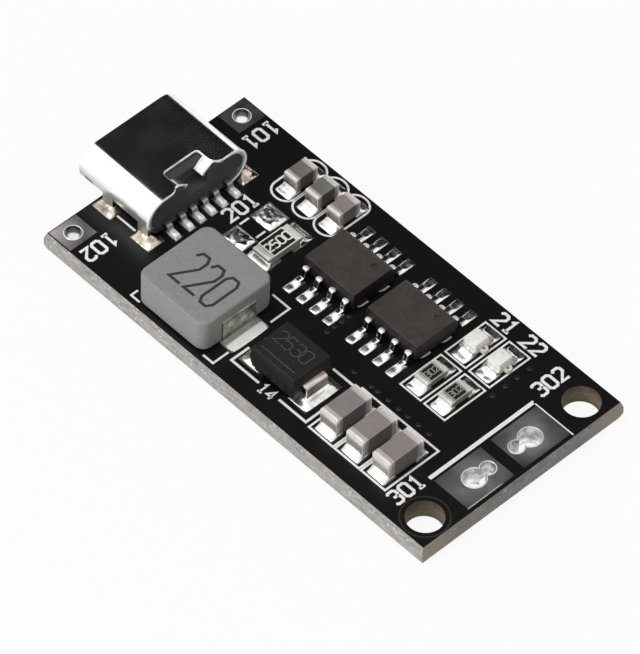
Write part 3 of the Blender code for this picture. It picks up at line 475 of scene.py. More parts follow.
def board_finish(settings):
    """Black mask, tinned pads above it, grey laminate on the broken edge and tin down the plated holes."""
    finish = Finish("masked board")
    x, y, z = finish.across
    mirrored = finish.spot(x, abs(y))
    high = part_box("pcb")[1]
    peel = finish.grain(1500.0, 0.35)
    mask = shaded(settings.mask, peel["Shade"])
    near = (FIXING_HOLE[0], -FIXING_HOLE[1])
    ring = finish.disc(near, 1.76 * MM, 0.06 * MM) - finish.disc(near, 1.66 * MM, 0.06 * MM)
    mask = mixed(ring * 0.9, mask, MASK_RING)
    end = finish.past(x, high[0] - BROKEN_EDGE, SHARP)
    edge = end.over(finish.past(y, high[1] - BROKEN_EDGE, SHARP))
    fibre, layers, patches = laminate(finish, settings, end)
    colour = mixed(edge, mask, fibre)
    plated, hole = plated_holes(finish, mirrored)
    # Painted light: the fixing-hole wall is darker near the top and lighter towards the bottom
    depth = z.fade(BOARD_TOP, 0.3 * BOARD_TOP) * 0.85 + 0.65
    wall = shaded(settings.hole_wall, layers["Shade"], patches["Shade"], depth)
    colour = mixed(hole, colour, wall)

    # The flat pads: a painted dark reflection by the far corner, and on the battery pads where it gives way
    # to a lighter tone round their holes; a painted highlight by the near corner and along a battery pad's
    # edge
    raised = z.fade(BOARD_TOP + 0.002 * MM, BOARD_TOP + 0.004 * MM)
    tinned = raised.over(plated)
    tin = finish.use("mottled metal", Scale=700.0, Dull=0.4, Clear=0.28)
    # Painted dark reflection on the far corner pad
    painted_far_reflection = finish.disc(CORNER_PAD, 3.0 * MM, 0.6 * MM)
    pad = mixed(painted_far_reflection, settings.pad, scaled(settings.pad, 0.5))
    # Painted dark reflection on the battery pads, giving way to a lighter tone round their holes
    glow = finish.disc(BATTERY_PAD, 2.6 * MM, 1.6 * MM, Place=mirrored)
    pad = shaded(pad, 1.0 - x.fade(0.0, 0.001 * MM) * (glow * -0.75 + 0.55))
    # Painted glint along the near battery pad's outer edge, joined to a painted highlight by the near corner
    glint = x.fade(17.7 * MM, 17.71 * MM) * (y.fade(-1.3 * MM, -1.9 * MM) * raised)
    painted_highlight = finish.disc((-18.1 * MM, -9.0 * MM), 2.6 * MM, 2.4 * MM).over(glint)
    pad = mixed(painted_highlight, pad, PAD_HIGHLIGHT)
    colour = mixed(tinned, colour, shaded(pad, tin["Shade"]))

    # The plated walls: grey with painted shade in the wire holes, where their far walls have a painted
    # highlight low down, and bright in the battery holes
    far_wall = (finish.facing[0] - finish.facing[1]).fade(0.95, 1.25)
    battery = x.fade(-0.001 * MM, 0.0)
    coarse = finish.use("mottled metal", Scale=1500.0, Swing=0.75)
    # Painted shade: the wire holes' lining is the plating at 0.3 of its colour
    thin = shaded(scaled(settings.plating, 0.3), tin["Shade"])
    # The battery holes' lining is darker towards the top of the hole and lighter towards the bottom
    lighter_lower_down = z.fade(0.7 * MM, 0.3 * MM) * 0.35 + 0.65
    lining = mixed(battery, thin, shaded(LINING, coarse["Shade"], lighter_lower_down))
    # Painted highlight: the wire holes' far walls are painted near white low down
    painted_wall_highlight = z.fade(1.05 * MM, 0.75 * MM) * far_wall * (1.0 - battery)
    colour = mixed(plated, colour, mixed(painted_wall_highlight, lining, WALL_HIGHLIGHT))

    bare = edge.over(hole)
    rough = blend(plated, blend(tinned, bare * 0.5 + 0.3, tin["Roughness"]), 0.16)
    relief = layers["Height"] * bare * 6.0 + peel["Height"]
    metal = tinned * (painted_highlight * -0.45 + 1.0)
    return finish.done(colour, rough, relief, 0.008 * MM, metal=metal, specular=0.3)


def tin_finish(
    name, colour, dull, clear, scale=900.0, depth=0.01 * MM, swing=0.3, metallic=1.0, painted_upright_shade=1.0, dim=None
):
    """Wavy tinned metal of one colour and one metallic level; a near-white, barely metallic one is a painted
    highlight. Its sloping and upright faces carry a painted shade factor, given after metallic. If dim gives
    an x, a reach, a blur and a share, the metal is dimmed to that share within the reach of that x and clear
    once past the blur."""
    finish = Finish(name)
    tin = finish.use("mottled metal", Scale=scale, Dull=dull, Clear=clear, Swing=swing)
    base = shaded(colour, tin["Shade"])
    if dim:
        start, reach, blur, share = dim
        base = shaded(base, abs(finish.across[0] - start).fade(reach, reach + blur) * (1.0 - share) + share)
    if painted_upright_shade != 1.0:
        # Painted shade on sloping and upright faces
        base = shaded(base, finish.facing[2].fade(0.8, 0.45) * (painted_upright_shade - 1.0) + 1.0)
    return finish.done(base, tin["Roughness"], tin["Height"], depth, 0.6, metal=metallic)


def moulded_finish(name, colour, rough, share, specks, scale=2600.0, side=1.0, cloudy=0.16):
    """Moulded or pressed material: a fine grain with filler specks in it, and wide faint clouds. Its
    upright faces carry painted shade, darker by side, and it shines less if they are much darker."""
    finish = Finish(name)
    grain = finish.grain(scale, 0.35)
    cloud = finish.grain(scale / 4, cloudy)
    base = shaded(colour, grain["Shade"], cloud["Shade"])
    if side != 1.0:
        # Painted shade on upright faces
        base = shaded(base, finish.facing[2].fade(0.8, 0.5) * (side - 1.0) + 1.0)
    base = mixed(finish.specks(scale * 1.6, share), base, specks)
    rough = (grain["Height"] - 0.5) * 0.25 + rough
    specular = 0.3 if side < 0.9 else 0.5
    return finish.done(base, rough, grain["Height"], 0.012 * MM, 0.6, specular=specular)


def skin(bm, rows, around=True, along=False, capped=False):
    """Faces between rows of vertices. Each row is closed on itself by around, the last row is joined to the
    first by along, and the first and last row are filled if capped."""
    pairs = list(zip(rows, rows[1:]))
    if along:
        pairs.append((rows[-1], rows[0]))
    for here, after in pairs:
        count = len(here)
        for k in range(count if around else count - 1):
            bm.faces.new((here[k], here[(k + 1) % count], after[(k + 1) % count], after[k]))
    if capped:
        bm.faces.new(rows[0])
        bm.faces.new(rows[-1])


def solder_pad(bm, pad, foot, climb, crown, steps=14):
    """A skin of solder over a pad, (x, y, size along X, size along Y), that climbs round a foot, (low x,
    high x, low y, high y), and thins out over a length of its own climb."""
    x0, y0, dx, dy = pad
    shares = [sin(pi / 2 * (2 * i / steps - 1)) for i in range(steps + 1)]
    rows = []
    for u in shares:
        row = []
        for v in shares:
            x = x0 + dx / 2 * u * (1 - 0.06 * v * v * v * v)
            y = y0 + dy / 2 * v * (1 - 0.06 * u * u * u * u)
            film = (1 - abs(u) ** 5) * (1 - abs(v) ** 5)
            rise = crown * film
            if foot:
                away = hypot(max(foot[0] - x, 0, x - foot[1]), max(foot[2] - y, 0, y - foot[3]))
                rise += climb * exp(-away / (0.45 * climb + 0.04 * MM)) * film**0.5
            swell = noise.noise(Vector((x, y, 0.0)) * 2600.0)
            ripple = noise.noise(Vector((x, y, 0.001)) * 5200.0)
            rise += film * crown * (0.45 * swell + 0.2 * ripple)
            row.append(bm.verts.new((x, y, PAD_TOP - 0.004 * MM + rise)))
        rows.append(row)
    skin(bm, rows, around=False)


def face(box, side, axis=1):
    """Where a box, its low and high corner, ends on one side along an axis."""
    return box[1][axis] if side > 0 else box[0][axis]


def span(end, side, length):
    """The two ends, in order, of a length that runs back from an end on one side."""
    return sorted((end, end - side * length))


def ribbon(bm, points, width, low, high):
    """A flat printed stroke along points, with mitred corners, closed if it ends where it starts."""
    closed = (Vector(points[0]) - Vector(points[-1])).length < 1e-7
    path = [Vector(point) for point in points]
    if closed:
        path = path[:-1]
    count = len(path)
    rows = []
    for index, here in enumerate(path):
        before = path[index - 1] if closed or index > 0 else None
        after = path[(index + 1) % count] if closed or index < count - 1 else None
        normals = []
        for start, end in ((before, here), (here, after)):
            if start is not None and end is not None:
                along = (end - start).normalized()
                normals.append(Vector((-along.y, along.x)))
        normal = sum(normals, Vector((0, 0))).normalized()
        stretch = min(1 / max(normal.dot(normals[0]), 0.35), 2.0)
        side = normal * width / 2 * stretch
        corners = ((1, low), (1, high), (-1, high), (-1, low))
        rows.append([bm.verts.new((here.x + s * side.x, here.y + s * side.y, z)) for s, z in corners])
    skin(bm, rows, around=False, along=closed, capped=not closed)


def bead(bm, points, radius, sides=6):
    """A round bead along points in space, with closed ends."""
    path = [Vector(point) for point in points]
    turns = [2 * pi * k / sides for k in range(sides)]
    rows = []
    first = (path[1] - path[0]).orthogonal()
    for index, here in enumerate(path):
        along = (path[min(index + 1, len(path) - 1)] - path[max(index - 1, 0)]).normalized()
        first = (first - along * first.dot(along)).normalized()
        second = along.cross(first)
        rows.append([bm.verts.new(here + (first * cos(t) + second * sin(t)) * radius) for t in turns])
    skin(bm, rows, capped=True)


def number(bm, digits, centre, height, turn, stroke, low, high, pitch=0.86, slim=1.0):
    """Digits in single strokes, centred on a point and turned in plan; slim is their width as a share."""
    width = (len(digits) - 1) * pitch + 0.6 * slim
    turned = Matrix.Rotation(turn, 2)
    for index, digit in enumerate(digits):
        for stroke_points in DIGITS[digit]:
            points = []
            for u, v in stroke_points:
                spot = turned @ (Vector((u * slim + index * pitch - width / 2, v - 0.5)) * height)
                points.append((centre[0] + spot.x, centre[1] + spot.y))
            ribbon(bm, points, stroke, low, high)


def outline(centre, half_x, half_y, round_x=0.0, round_y=0.0, steps=8):
    """A closed outline in plan: a box, or one with elliptical corners."""
    if not round_x:
        corners = ((-1, -1), (1, -1), (1, 1), (-1, 1), (-1, -1))
        return [(centre[0] + sx * half_x, centre[1] + sy * half_y) for sx, sy in corners]
    points = []
    for quarter, (sx, sy) in enumerate(((1, 1), (-1, 1), (-1, -1), (1, -1))):
        for step in range(steps + 1):
            angle = (quarter + step / steps) * pi / 2
            x = centre[0] + sx * (half_x - round_x) + round_x * cos(angle)
            y = centre[1] + sy * (half_y - round_y) + round_y * sin(angle)
            points.append((x, y))
    return [*points, points[0]]


class CHARGER_OT_effects(bpy.types.Operator):
    """Build the shared effects: grain, specks, masks and mottled metal"""

    bl_idname = "charger.effects"
    bl_label = "Shared effects"

    def execute(self, context):
        make_grain()
        make_specks()
        make_past()
        make_disc()
        make_mottle()
        return {"FINISHED"}


class CHARGER_OT_board(bpy.types.Operator):
    """Finish the board: mask, pads, laminate edge and hole walls"""

    bl_idname = "charger.board"
    bl_label = "Board"

    def execute(self, context):
        finish_node("pcb", board_finish(context.scene.charger_board), smooth=False)
        return {"FINISHED"}


# The nodes that a printed outline runs round, its shift along X and Y in millimetres, its half lengths, the
# reach of its rounded corners and its width as a share of the usual one
LED_NODES = ("led_1_lens", "led_2_lens", "led_1_resistor", "led_2_resistor")
OUTLINES = [(name, -0.02, -0.03, (0.96, 1.86), 0.85) for name in LED_NODES]
OUTLINES += [(f"input_capacitor_{row}", -0.14, 0.0, (1.0, 2.17, 0.95, 0.9), 1.0) for row in (1, 2, 3)]
OUTLINES += [(f"output_capacitor_{row}", 0.0, 0.19, (1.14, 2.42), 1.0) for row in (1, 2, 3)]

# Each other printed line, its points in plan in millimetres after its share of the usual width
STROKES = [
    (1.2, (-1.765, -5.81), (-1.765, -7.416), (0.878, -7.416)),
    (1.2, (2.789, -7.416), (5.363, -7.416), (5.363, -2.99), (3.284, -2.99)),
    (1.0, (-4.04, -1.555), (-2.389, -1.555), (-2.389, -3.29)),
    (1.0, (-3.35, -8.5), (-2.389, -8.5), (-2.389, -7.1)),
    (1.0, (-10.33, -7.9), (-10.33, -8.52), (-9.5, -8.52)),
    (1.0, (-10.33, -2.2), (-10.33, -1.555), (-9.7, -1.555)),
    (1.0, (-9.99, 1.02), (-9.99, 1.86)),
    (1.0, (-8.39, 1.02), (-8.39, 1.86)),
    (1.0, (-16.07, -4.525), (-14.27, -4.525)),
    (1.0, (-16.07, 4.325), (-14.27, 4.325)),
]
STROKES += [
    (0.8, (x, low), (x + 0.22, low + 0.06), (x + 0.32, low + 0.3), (x + 0.32, high))
    for x in (0.314, 6.254)
    for low, high in ((3.84, 4.68), (1.86, 2.75))
]
STROKES += [(1.9, (14.22, -4.723), (14.22, 4.82)), (0.62, (14.22, 4.77), (17.94, 4.77))]

# Each printed number, its middle in millimetres, its turn and its share of the usual size
NUMBERS = (
    ("101", -14.84, 7.49, -pi / 2, 1.0),
    ("102", -14.84, -7.27, -pi / 2, 1.0),
    ("201", -11.04, 2.03, pi / 2, 1.0),
    ("302", 13.72, 6.79, pi / 2, 1.0),
    ("301", 13.87, -6.5, pi / 2, 1.0),
    ("21", 8.18, 8.15, 0.0, 1.0),
    ("22", 10.78, 8.15, 0.0, 1.0),
    ("14", 1.78, -7.5, 0.0, 0.74),
)


def printed_lines():
    """The points in metres of each printed line, and its width as a share of the usual one."""
    for name, shift_x, shift_y, size, share in OUTLINES:
        centre = middle(name)
        yield outline((centre.x + shift_x * MM, centre.y + shift_y * MM), *mm(*size)), share
    for share, *points in STROKES:
        yield [mm(*point) for point in points], share


def domes(piece, finish, spots, size):
    """A flattened ball at each spot, of size as its half lengths."""
    bm = bmesh.new()
    for spot in spots:
        place = Matrix.Translation(spot) @ Matrix.Diagonal((*size, 1.0))
        bmesh.ops.create_icosphere(bm, subdivisions=3, radius=1.0, matrix=place)
    new_piece(piece, bm, finish, smooth=True)


class CHARGER_OT_print(bpy.types.Operator):
    """Print the outlines and numbers on the mask, and close the small holes that it covers"""

    bl_idname = "charger.print"
    bl_label = "Print"

    def execute(self, context):
        settings = context.scene.charger_board
        ink = Finish("white print")
        grain = ink.grain(5000.0, 0.5)
        white = ink.done(shaded(settings.print_ink, grain["Shade"]), 0.6, grain["Height"], 0.006 * MM)
        levels = (BOARD_TOP - 0.01 * MM, BOARD_TOP + settings.ink_height)
        bm = bmesh.new()
        for points, share in printed_lines():
            ribbon(bm, points, settings.line_width * share, *levels)
        for digits, x, y, turn, share in NUMBERS:
            stroke = share * settings.number_stroke
            number(bm, digits, mm(x, y), share * settings.number_height, turn, stroke, *levels)
        new_piece("board_print", bm, white)
        lid = scaled(settings.mask, 1.3)
        finish = moulded_finish("tented via", lid, 0.34, 0.05, (0.012, 0.011, 0.01), scale=5000.0)
        spots = [(12.0, y) for y in (6.61, 5.47, 4.385, 3.2)]
        spots += [(x, -2.11) for x in (4.42, 6.06, 6.65, 7.64, 8.63, 9.52, 10.51, 11.5)]
        spots += [(0.71, y) for y in (-1.06, -0.4, 0.26, 0.92)]
        spots = [(*mm(*spot), BOARD_TOP - 0.008 * MM) for spot in spots]
        domes("tented_vias", finish, spots, mm(0.2, 0.2, 0.028))
        return {"FINISHED"}


def ic_leads():
    """The box of each IC lead, its body's name and the side that it leaves on."""
    for chip in (1, 2):
        body = f"ic_{chip}_body"
        for pin in range(1, 9):
            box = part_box(f"ic_{chip}_lead_{pin}")
            yield box, body, 1 if box[0][1] > middle(body).y else -1


def lead_pads(crown):
    for box, body, side in ic_leads():
        low, high = box
        pad = ((low[0] + high[0]) / 2, middle(body).y + side * IC_PAD_Y, *IC_PAD)
        yield pad, (low[0], high[0], *span(face(box, side), side, 0.6 * MM)), 0.14 * MM, crown, 10


# The chips' nodes, how far their pads reach from the middle, the pads' width and the climb of the solder
CHIP_PADS = (
    ("input_capacitor_1 input_capacitor_2 input_capacitor_3", 1.77, 1.36, 0.34),
    ("output_capacitor_1 output_capacitor_2 output_capacitor_3", 2.08, 1.68, 0.5),
    ("sense_resistor", 2.4, 1.96, 0.4),
    ("led_1_base led_2_base", 1.77, 1.36, 0.22),
    ("led_1_resistor led_2_resistor", 1.77, 1.36, 0.32),
)


def chip_pads(crown):
    for names, reach, width, climb in CHIP_PADS:
        half = (width - 0.12) / 2 * MM
        for name in names.split():
            x = middle(name.replace("base", "lens")).x
            for side in (-1, 1):
                y = middle(name).y + side * (reach * MM - CHIP_PAD_LENGTH / 2)
                end = face(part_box(name), side)
                foot = (x - half, x + half, *span(end, side, MM))
                yield (x, y, width * MM, CHIP_PAD_LENGTH), foot, climb * MM, crown
    for side in (-1, 1):
        y = middle("sense_resistor").y + side * EMPTY_PAD_Y
        yield (EMPTY_PAD_X, y, *EMPTY_PAD), None, 0.0, 3.6 * crown, 22


def strap_pads(crown, stem, length, width, climb, past):
    """Pads of this length and width that run past a pair of straps."""
    for word, side in (("left", -1), ("right", 1)):
        name = f"{stem}_{word}"
        low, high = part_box(name)
        end = face((low, high), side, axis=0)
        pad = (end + side * (past - length / 2) * MM, middle(name).y, *mm(length, width))
        yield pad, (*span(end, side, MM), low[1], high[1]), climb * MM, crown, 20


def tail_pads(crown):
    for pin in range(1, 7):
        name = f"usb_contact_{pin}"
        low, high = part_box(name)
        pad = (high[0] - 0.45 * MM, middle(name).y, *TAIL_PAD)
        yield pad, (high[0] - 0.7 * MM, high[0], low[1], high[1]), 0.24 * MM, 2.2 * crown, 12


def leg_pads(crown):
    for x, shift in zip(LEG_X, (0.0, 0.3 * MM)):
        for side in (-1, 1):
            y = RECEPTACLE_Y + side * LEG_Y
            half_x, half_y = scaled(LEG_FOOT, (0.5, 0.5))
            foot = (x - half_x, x + half_x, y - half_y, y + half_y)
            yield (x + shift, y, *LEG_PAD), foot, 0.4 * MM, crown, 20


def solder(piece, finish, pads):
    bm = bmesh.new()
    for pad in pads:
        solder_pad(bm, *pad)
    new_piece(piece, bm, finish, smooth=True)


def rim(bm, circles, width, steps=64, sides=8):
    """A half-sunk ring along the outline of one circle, or of two that run into each other."""
    points = []
    for index, (x, y, radius) in enumerate(circles):
        others = circles[:index] + circles[index + 1 :]
        for step in range(steps):
            angle = 2 * pi * step / steps
            spot = Vector((x + radius * cos(angle), y + radius * sin(angle)))
            if all((spot - Vector(other[:2])).length > other[2] for other in others):
                points.append(spot)
    centre = sum(points, Vector((0, 0))) / len(points)
    points.sort(key=lambda spot: atan2(spot.y - centre.y, spot.x - centre.x))
    rows = []
    for index, here in enumerate(points):
        along = (points[(index + 1) % len(points)] - points[index - 1]).normalized()
        out = Vector((along.y, -along.x))
        row = []
        for k in range(sides):
            turn = 2 * pi * k / sides
            flat = here + out * (width / 2 * cos(turn))
            row.append(bm.verts.new((flat.x, flat.y, PAD_TOP + 0.01 * MM + 0.35 * width * sin(turn))))
        rows.append(row)
    skin(bm, rows, along=True)


class CHARGER_OT_solder(bpy.types.Operator):
    """Put solder on the leads, chips, straps, legs and empty pads, and tin the rims of the plated holes"""

    bl_idname = "charger.solder"
    bl_label = "Solder"

    def execute(self, context):
        metal = context.scene.charger_metal
        crown = metal.crown
        fresh = tin_finish("fresh solder", metal.solder, 0.3, 0.14, 1900.0, 0.04 * MM)
        warm = tin_finish("leg solder", metal.leg_solder, 0.26, 0.08, 1500.0, 0.09 * MM, swing=0.8)

        # The tails' solder is near white and barely metallic, a painted highlight, with painted shade under
        # the shell; the straps' solder is cream and barely metallic, also a painted highlight, darker beside
        # the inductor's body
        low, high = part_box("usb_shell")
        dim = (low[0], high[0] - low[0] + 0.1 * MM, 0.5 * MM, 0.1)
        white = (0.99, 0.99, 0.97)
        pale = tin_finish("tail solder", white, 0.3, 0.14, 1900.0, 0.03 * MM, 0.2, 0.2, dim=dim)
        centre = middle("inductor_body").x
        dim = (centre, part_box("inductor_terminal_right")[1][0] - centre + 0.3 * MM, 0.2 * MM, 0.3)
        cream = (1.0, 0.99, 0.95)
        strap = tin_finish("strap solder", cream, 0.3, 0.12, 1300.0, 0.04 * MM, 0.12, 0.04, dim=dim)
        # Near-white, barely metallic tin on the leads' rounded shoulders: a painted highlight on real bends
        shoulder = tin_finish("lead shoulder", (0.98, 0.98, 0.96), 0.3, 0.2, swing=0.15, metallic=0.3)
        tinned = tin_finish("tinned rim", metal.solder, 0.3, 0.16, metallic=0.45)
        solder("lead_solder", fresh, lead_pads(crown))
        solder("chip_solder", fresh, chip_pads(crown))
        inductor = strap_pads(crown, "inductor_terminal", 1.66, 3.3, 0.12, 1.15)
        solder("inductor_strap_solder", strap, inductor)
        solder("diode_strap_solder", fresh, strap_pads(1.6 * crown, "diode_lead", 2.1, 3.2, 0.4, 0.6))
        spots = []
        for (low, high), body, side in ic_leads():
            y = face(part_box(body), side) + side * 0.19 * MM
            spots.append(((low[0] + high[0]) / 2, y, high[2] - 0.04 * MM))
        domes("lead_shoulders", shoulder, spots, mm(0.25, 0.22, 0.1))
        solder("tail_solder", pale, tail_pads(crown))
        solder("leg_solder", warm, leg_pads(1.6 * crown))
        bm = bmesh.new()
        for side in (-1, 1):
            for holes in (WIRE_HOLES, BATTERY_HOLES):
                width = metal.rim_width
                rim(bm, [(x, side * y, radius + width * 0.4) for (x, y), radius in holes], width)
        new_piece("hole_rims", bm, tinned, smooth=True)
        return {"FINISHED"}


def cut_edges():
    """Bright beads along the cut sheet's rounded edges round the rear mouth, the notch and its two curled
    ears: real rounded edges in a near-white, non-metallic finish that is a painted highlight.
    """
    # Painted highlight: near white and not metallic
    bright = tin_finish("cut edge", (1.0, 1.0, 0.99), 0.4, 0.3, swing=0.1, metallic=0.0)
    low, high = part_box("usb_shell")
    radius = 0.105 * MM
    inset = 0.03 * MM
    thin = 0.8 * radius
    bend = 1.57 * MM
    top = high[2] - radius
    mid_y = (low[1] + high[1]) / 2
    rear = high[0] - inset
    notch = [(-14.785, 0.0), (-14.785, 1.3)]
    notch += [(-14.485 + 0.3 * cos(a), 1.3 + 0.3 * sin(a)) for a in (pi * 5 / 6, pi * 2 / 3, pi / 2)]
    notch += [(-13.735 + 0.75 * sin(k * pi / 8), 2.35 - 0.75 * cos(k * pi / 8)) for k in range(5)]
    curl = ((1.773, 4.844), (1.641, 4.83), (1.497, 4.785), (1.372, 4.715), (0.672, 4.22))
    bm = bmesh.new()
    for side in (-1, 1):
        bead(bm, [(x * MM - inset, mid_y + side * (y * MM + inset), top) for x, y in notch], radius)
        points = [(rear, mid_y + side * 2.35 * MM, top)]
        for step in range(17 if side > 0 else 11):
            angle = pi / 2 - pi * step / 16
            y = (high[1] - low[1]) / 2 - bend + (bend - inset) * cos(angle)
            points.append((rear, mid_y + side * y, high[2] - bend + (bend - radius) * sin(angle)))
        bead(bm, points, radius)
        ear = [(mid_y + side * y * MM, min(z * MM, high[2] - thin)) for y, z in curl]
        points = [(-13.265 * MM, y, z) for y, z in ear]
        if side > 0:
            points += [(-14.015 * MM, y, z) for y, z in ear[:0:-1]]
        bead(bm, points, thin)
    new_piece("shell_cut_edges", bm, bright, smooth=True)


def shell_finish(steel):
    """Plated sheet: clear on its level faces, drawn duller round its bends, with painted shade low down
    towards the mouth. Its lower rear lip carries painted shade, and the slot in its side painted shade
    that reaches a little above the modelled slot."""
    finish = Finish("plated shell")
    x, _, z = finish.across
    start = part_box("usb_shell")[0][0]
    wave = finish.use("mottled metal", Scale=500.0, Dull=0.16, Clear=0.1, Swing=0.12)
    rough = abs(finish.facing[2]).fade(0.97, 0.6) * 0.24 + wave["Roughness"]
    # Painted shade low down towards the mouth
    grey = x.fade(start + 6.5 * MM, start + 0.3 * MM) * z.fade(3.9 * MM, 2.9 * MM)
    # Painted shade on the lower rear lip
    lip = finish.facing[0].fade(0.5, 0.8) * z.fade(2.9 * MM, 2.4 * MM)
    # Painted shade of the side slot's opening, reaching a little above the modelled slot
    slot = abs(x - (start + 0.9 * MM)).fade(0.42 * MM, 0.36 * MM)
    slot = slot * z.fade(3.06 * MM, 2.96 * MM) * z.fade(2.2 * MM, 2.3 * MM)
    shade = (grey * -0.5 + 1.0) * (lip * -0.85 + 1.0) * (slot * -0.97 + 1.0)
    base = shaded(steel, wave["Shade"], shade)
    return finish.done(base, rough, wave["Height"], 0.003 * MM, metal=1.0)


class CHARGER_OT_receptacle(bpy.types.Operator):
    """Finish the receptacle's shell, housing and contacts"""

    bl_idname = "charger.receptacle"
    bl_label = "Receptacle"

    def execute(self, context):
        metal = context.scene.charger_metal
        finish_node("usb_shell", shell_finish(metal.steel))
        resin = context.scene.charger_body.resin
        resin = moulded_finish("housing resin", resin, 0.6, 0.03, (0.09, 0.088, 0.08), cloudy=0.6)
        finish_node("usb_housing", resin, edge=0.03 * MM)
        low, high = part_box("usb_shell")
        # The tails: near white and barely metallic, a painted highlight, with painted shade on their upright
        # faces and under the shell
        dim = (low[0], high[0] - low[0] + 0.05 * MM, 0.5 * MM, 0.1)
        look = {"swing": 0.15, "metallic": 0.1, "painted_upright_shade": 0.3, "dim": dim}
        plating = tin_finish("contact plating", metal.plating, 0.36, 0.2, **look)
        for pin in range(1, 7):
            finish_node(f"usb_contact_{pin}", plating, edge=0.02 * MM)
        cut_edges()
        return {"FINISHED"}


class CHARGER_OT_inductor(bpy.types.Operator):
    """Finish the inductor's pressed body and straps, and burn its number into the top"""

    bl_idname = "charger.inductor"
    bl_label = "Inductor"

    def execute(self, context):
        bodies = context.scene.charger_body
        filler = (0.2, 0.195, 0.19)
        # Painted shade on the body's upright faces
        powder = moulded_finish("pressed powder", bodies.powder, 0.55, 0.05, filler, 3600.0, side=0.92)
        finish_node("inductor_body", powder)
        # Painted shade on the straps' level faces: the tin is at 0.42 of its colour, and the upright faces
        # are brought back near it
        tin = scaled(context.scene.charger_metal.tin, 0.42)
        strap = tin_finish("strap tin", tin, 0.42, 0.24, 1500.0, 0.02 * MM, swing=0.55, painted_upright_shade=2.4)
        finish_node("inductor_terminal_left", strap)
        finish_node("inductor_terminal_right", strap)
        ash = (0.13, 0.126, 0.12)
        burnt = moulded_finish("burnt number", bodies.engraving, 0.7, 0.12, ash, scale=6000.0)
        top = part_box("inductor_body")[1][2]
        centre = middle("inductor_body")
        spot = (centre.x + 0.3 * MM, centre.y - 0.35 * MM)
        levels = (top - 0.02 * MM, top + 0.004 * MM)
        bm = bmesh.new()
        number(bm, "220", spot, 3.0 * MM, 0.0, 0.22 * MM, *levels, pitch=0.47, slim=0.58)
        new_piece("inductor_number", bm, burnt)
        return {"FINISHED"}


class CHARGER_OT_semiconductors(bpy.types.Operator):
    """Finish the two ICs and the diode with their leads, and mark the diode faintly"""

    bl_idname = "charger.semiconductors"
    bl_label = "Diode and ICs"

    def execute(self, context):
        bodies = context.scene.charger_body
        metal = context.scene.charger_metal
        filler = (0.07, 0.064, 0.058)
        # Painted shade on the upright faces of the ICs and the diode
        epoxy = moulded_finish("IC epoxy", bodies.epoxy, 0.5, 0.08, filler, side=0.35, cloudy=0.9)
        filler = (0.03, 0.03, 0.03)
        dark = moulded_finish("diode epoxy", bodies.diode, 0.5, 0.08, filler, side=0.6, cloudy=0.7)
        # Painted shade on the sloping and upright faces of the IC leads and the diode's tabs
        lead = tin_finish("lead tin", metal.solder, 0.2, 0.1, painted_upright_shade=0.3)
        tab = tin_finish("diode tin", (0.8, 0.73, 0.66), 0.3, 0.16, swing=0.4, metallic=0.5, painted_upright_shade=0.6)
        for chip in (1, 2):
            finish_node(f"ic_{chip}_body", epoxy)
            for pin in range(1, 9):
                finish_node(f"ic_{chip}_lead_{pin}", lead, edge=0.05 * MM)
        for node, finish in (("body", dark), ("lead_left", tab), ("lead_right", tab)):
            finish_node(f"diode_{node}", finish, edge=0.05 * MM)
        faint = moulded_finish("faint marking", (0.075, 0.075, 0.075), 0.6, 0.3, filler, scale=6000.0)
        low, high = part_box("diode_body")
        centre = middle("diode_body")
        levels = (high[2] - 0.02 * MM, high[2] + 0.002 * MM)
        spot = (centre.x - 0.1 * MM, centre.y + 0.35 * MM)
        band_y = low[1] + 0.62 * MM
        bm = bmesh.new()
        number(bm, "2530", spot, 1.1 * MM, 0.0, 0.06 * MM, *levels, pitch=0.72)
        ribbon(bm, [(low[0] + 0.5 * MM, band_y), (high[0] - 0.6 * MM, band_y)], 0.06 * MM, *levels)
        new_piece("diode_marking", bm, faint)
        return {"FINISHED"}


def chip_finish(name, colour, node, reach, metal, glaze=None, gloom=0.0):
    """A fired chip: its body colour between the caps, tinned caps past reach, and a glaze on top if given.
    The caps' upright ends carry painted shade, darker downwards by gloom; the faces towards +X carry
    painted shade, and the caps' rounded top edges a painted highlight."""
    finish = Finish(name)
    _, y, z = finish.across
    low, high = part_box(node)
    grain = finish.grain(3200.0, 0.35)
    wobble = grain["Height"] * (0.08 * MM) + (reach - 0.04) * MM
    cap = finish.past(y, wobble, 0.02 * MM, (low[1] + high[1]) / 2)
    tin = finish.use("mottled metal", Scale=1500.0, Dull=0.4, Clear=0.2)
    # Painted highlight on the caps' rounded top edges
    painted_highlight = painted_highlight_edge(finish, low, high, 2.6 * (1.1 - gloom) if gloom else 1.0)
    # Painted shade on the faces towards +X
    end = finish.facing[0].fade(0.3, 0.8) * -0.5 + 1.0
    body = shaded(colour, grain["Shade"], end)
    warm = [0.7 * a + 0.3 * b for a, b in zip(metal.solder if glaze else metal.cap, colour)]
    warm = shaded(warm, end)
    if gloom:
        # Painted shade down the caps' upright ends
        dark = abs(finish.facing[1]).fade(0.5, 0.9) * z.fade(high[2] - 0.1 * MM, low[2] + 0.4 * MM)
        warm = shaded(warm, dark * -gloom + 1.0)
    capped = mixed(painted_highlight, shaded(warm, tin["Shade"]), (0.98, 0.93, 0.88))
    base = mixed(cap, body, capped)
    rough = blend(cap, 0.45, tin["Roughness"])
    shine = cap * 0.15
    if glaze:
        top = z.fade(high[2] - 0.036 * MM, high[2] - 0.03 * MM)
        base = mixed(top, base, glaze)
        rough = blend(top, rough, 0.3)
        shine = shine * (1.0 - top)
    return finish.done(base, rough, grain["Height"], 0.01 * MM, metal=shine)


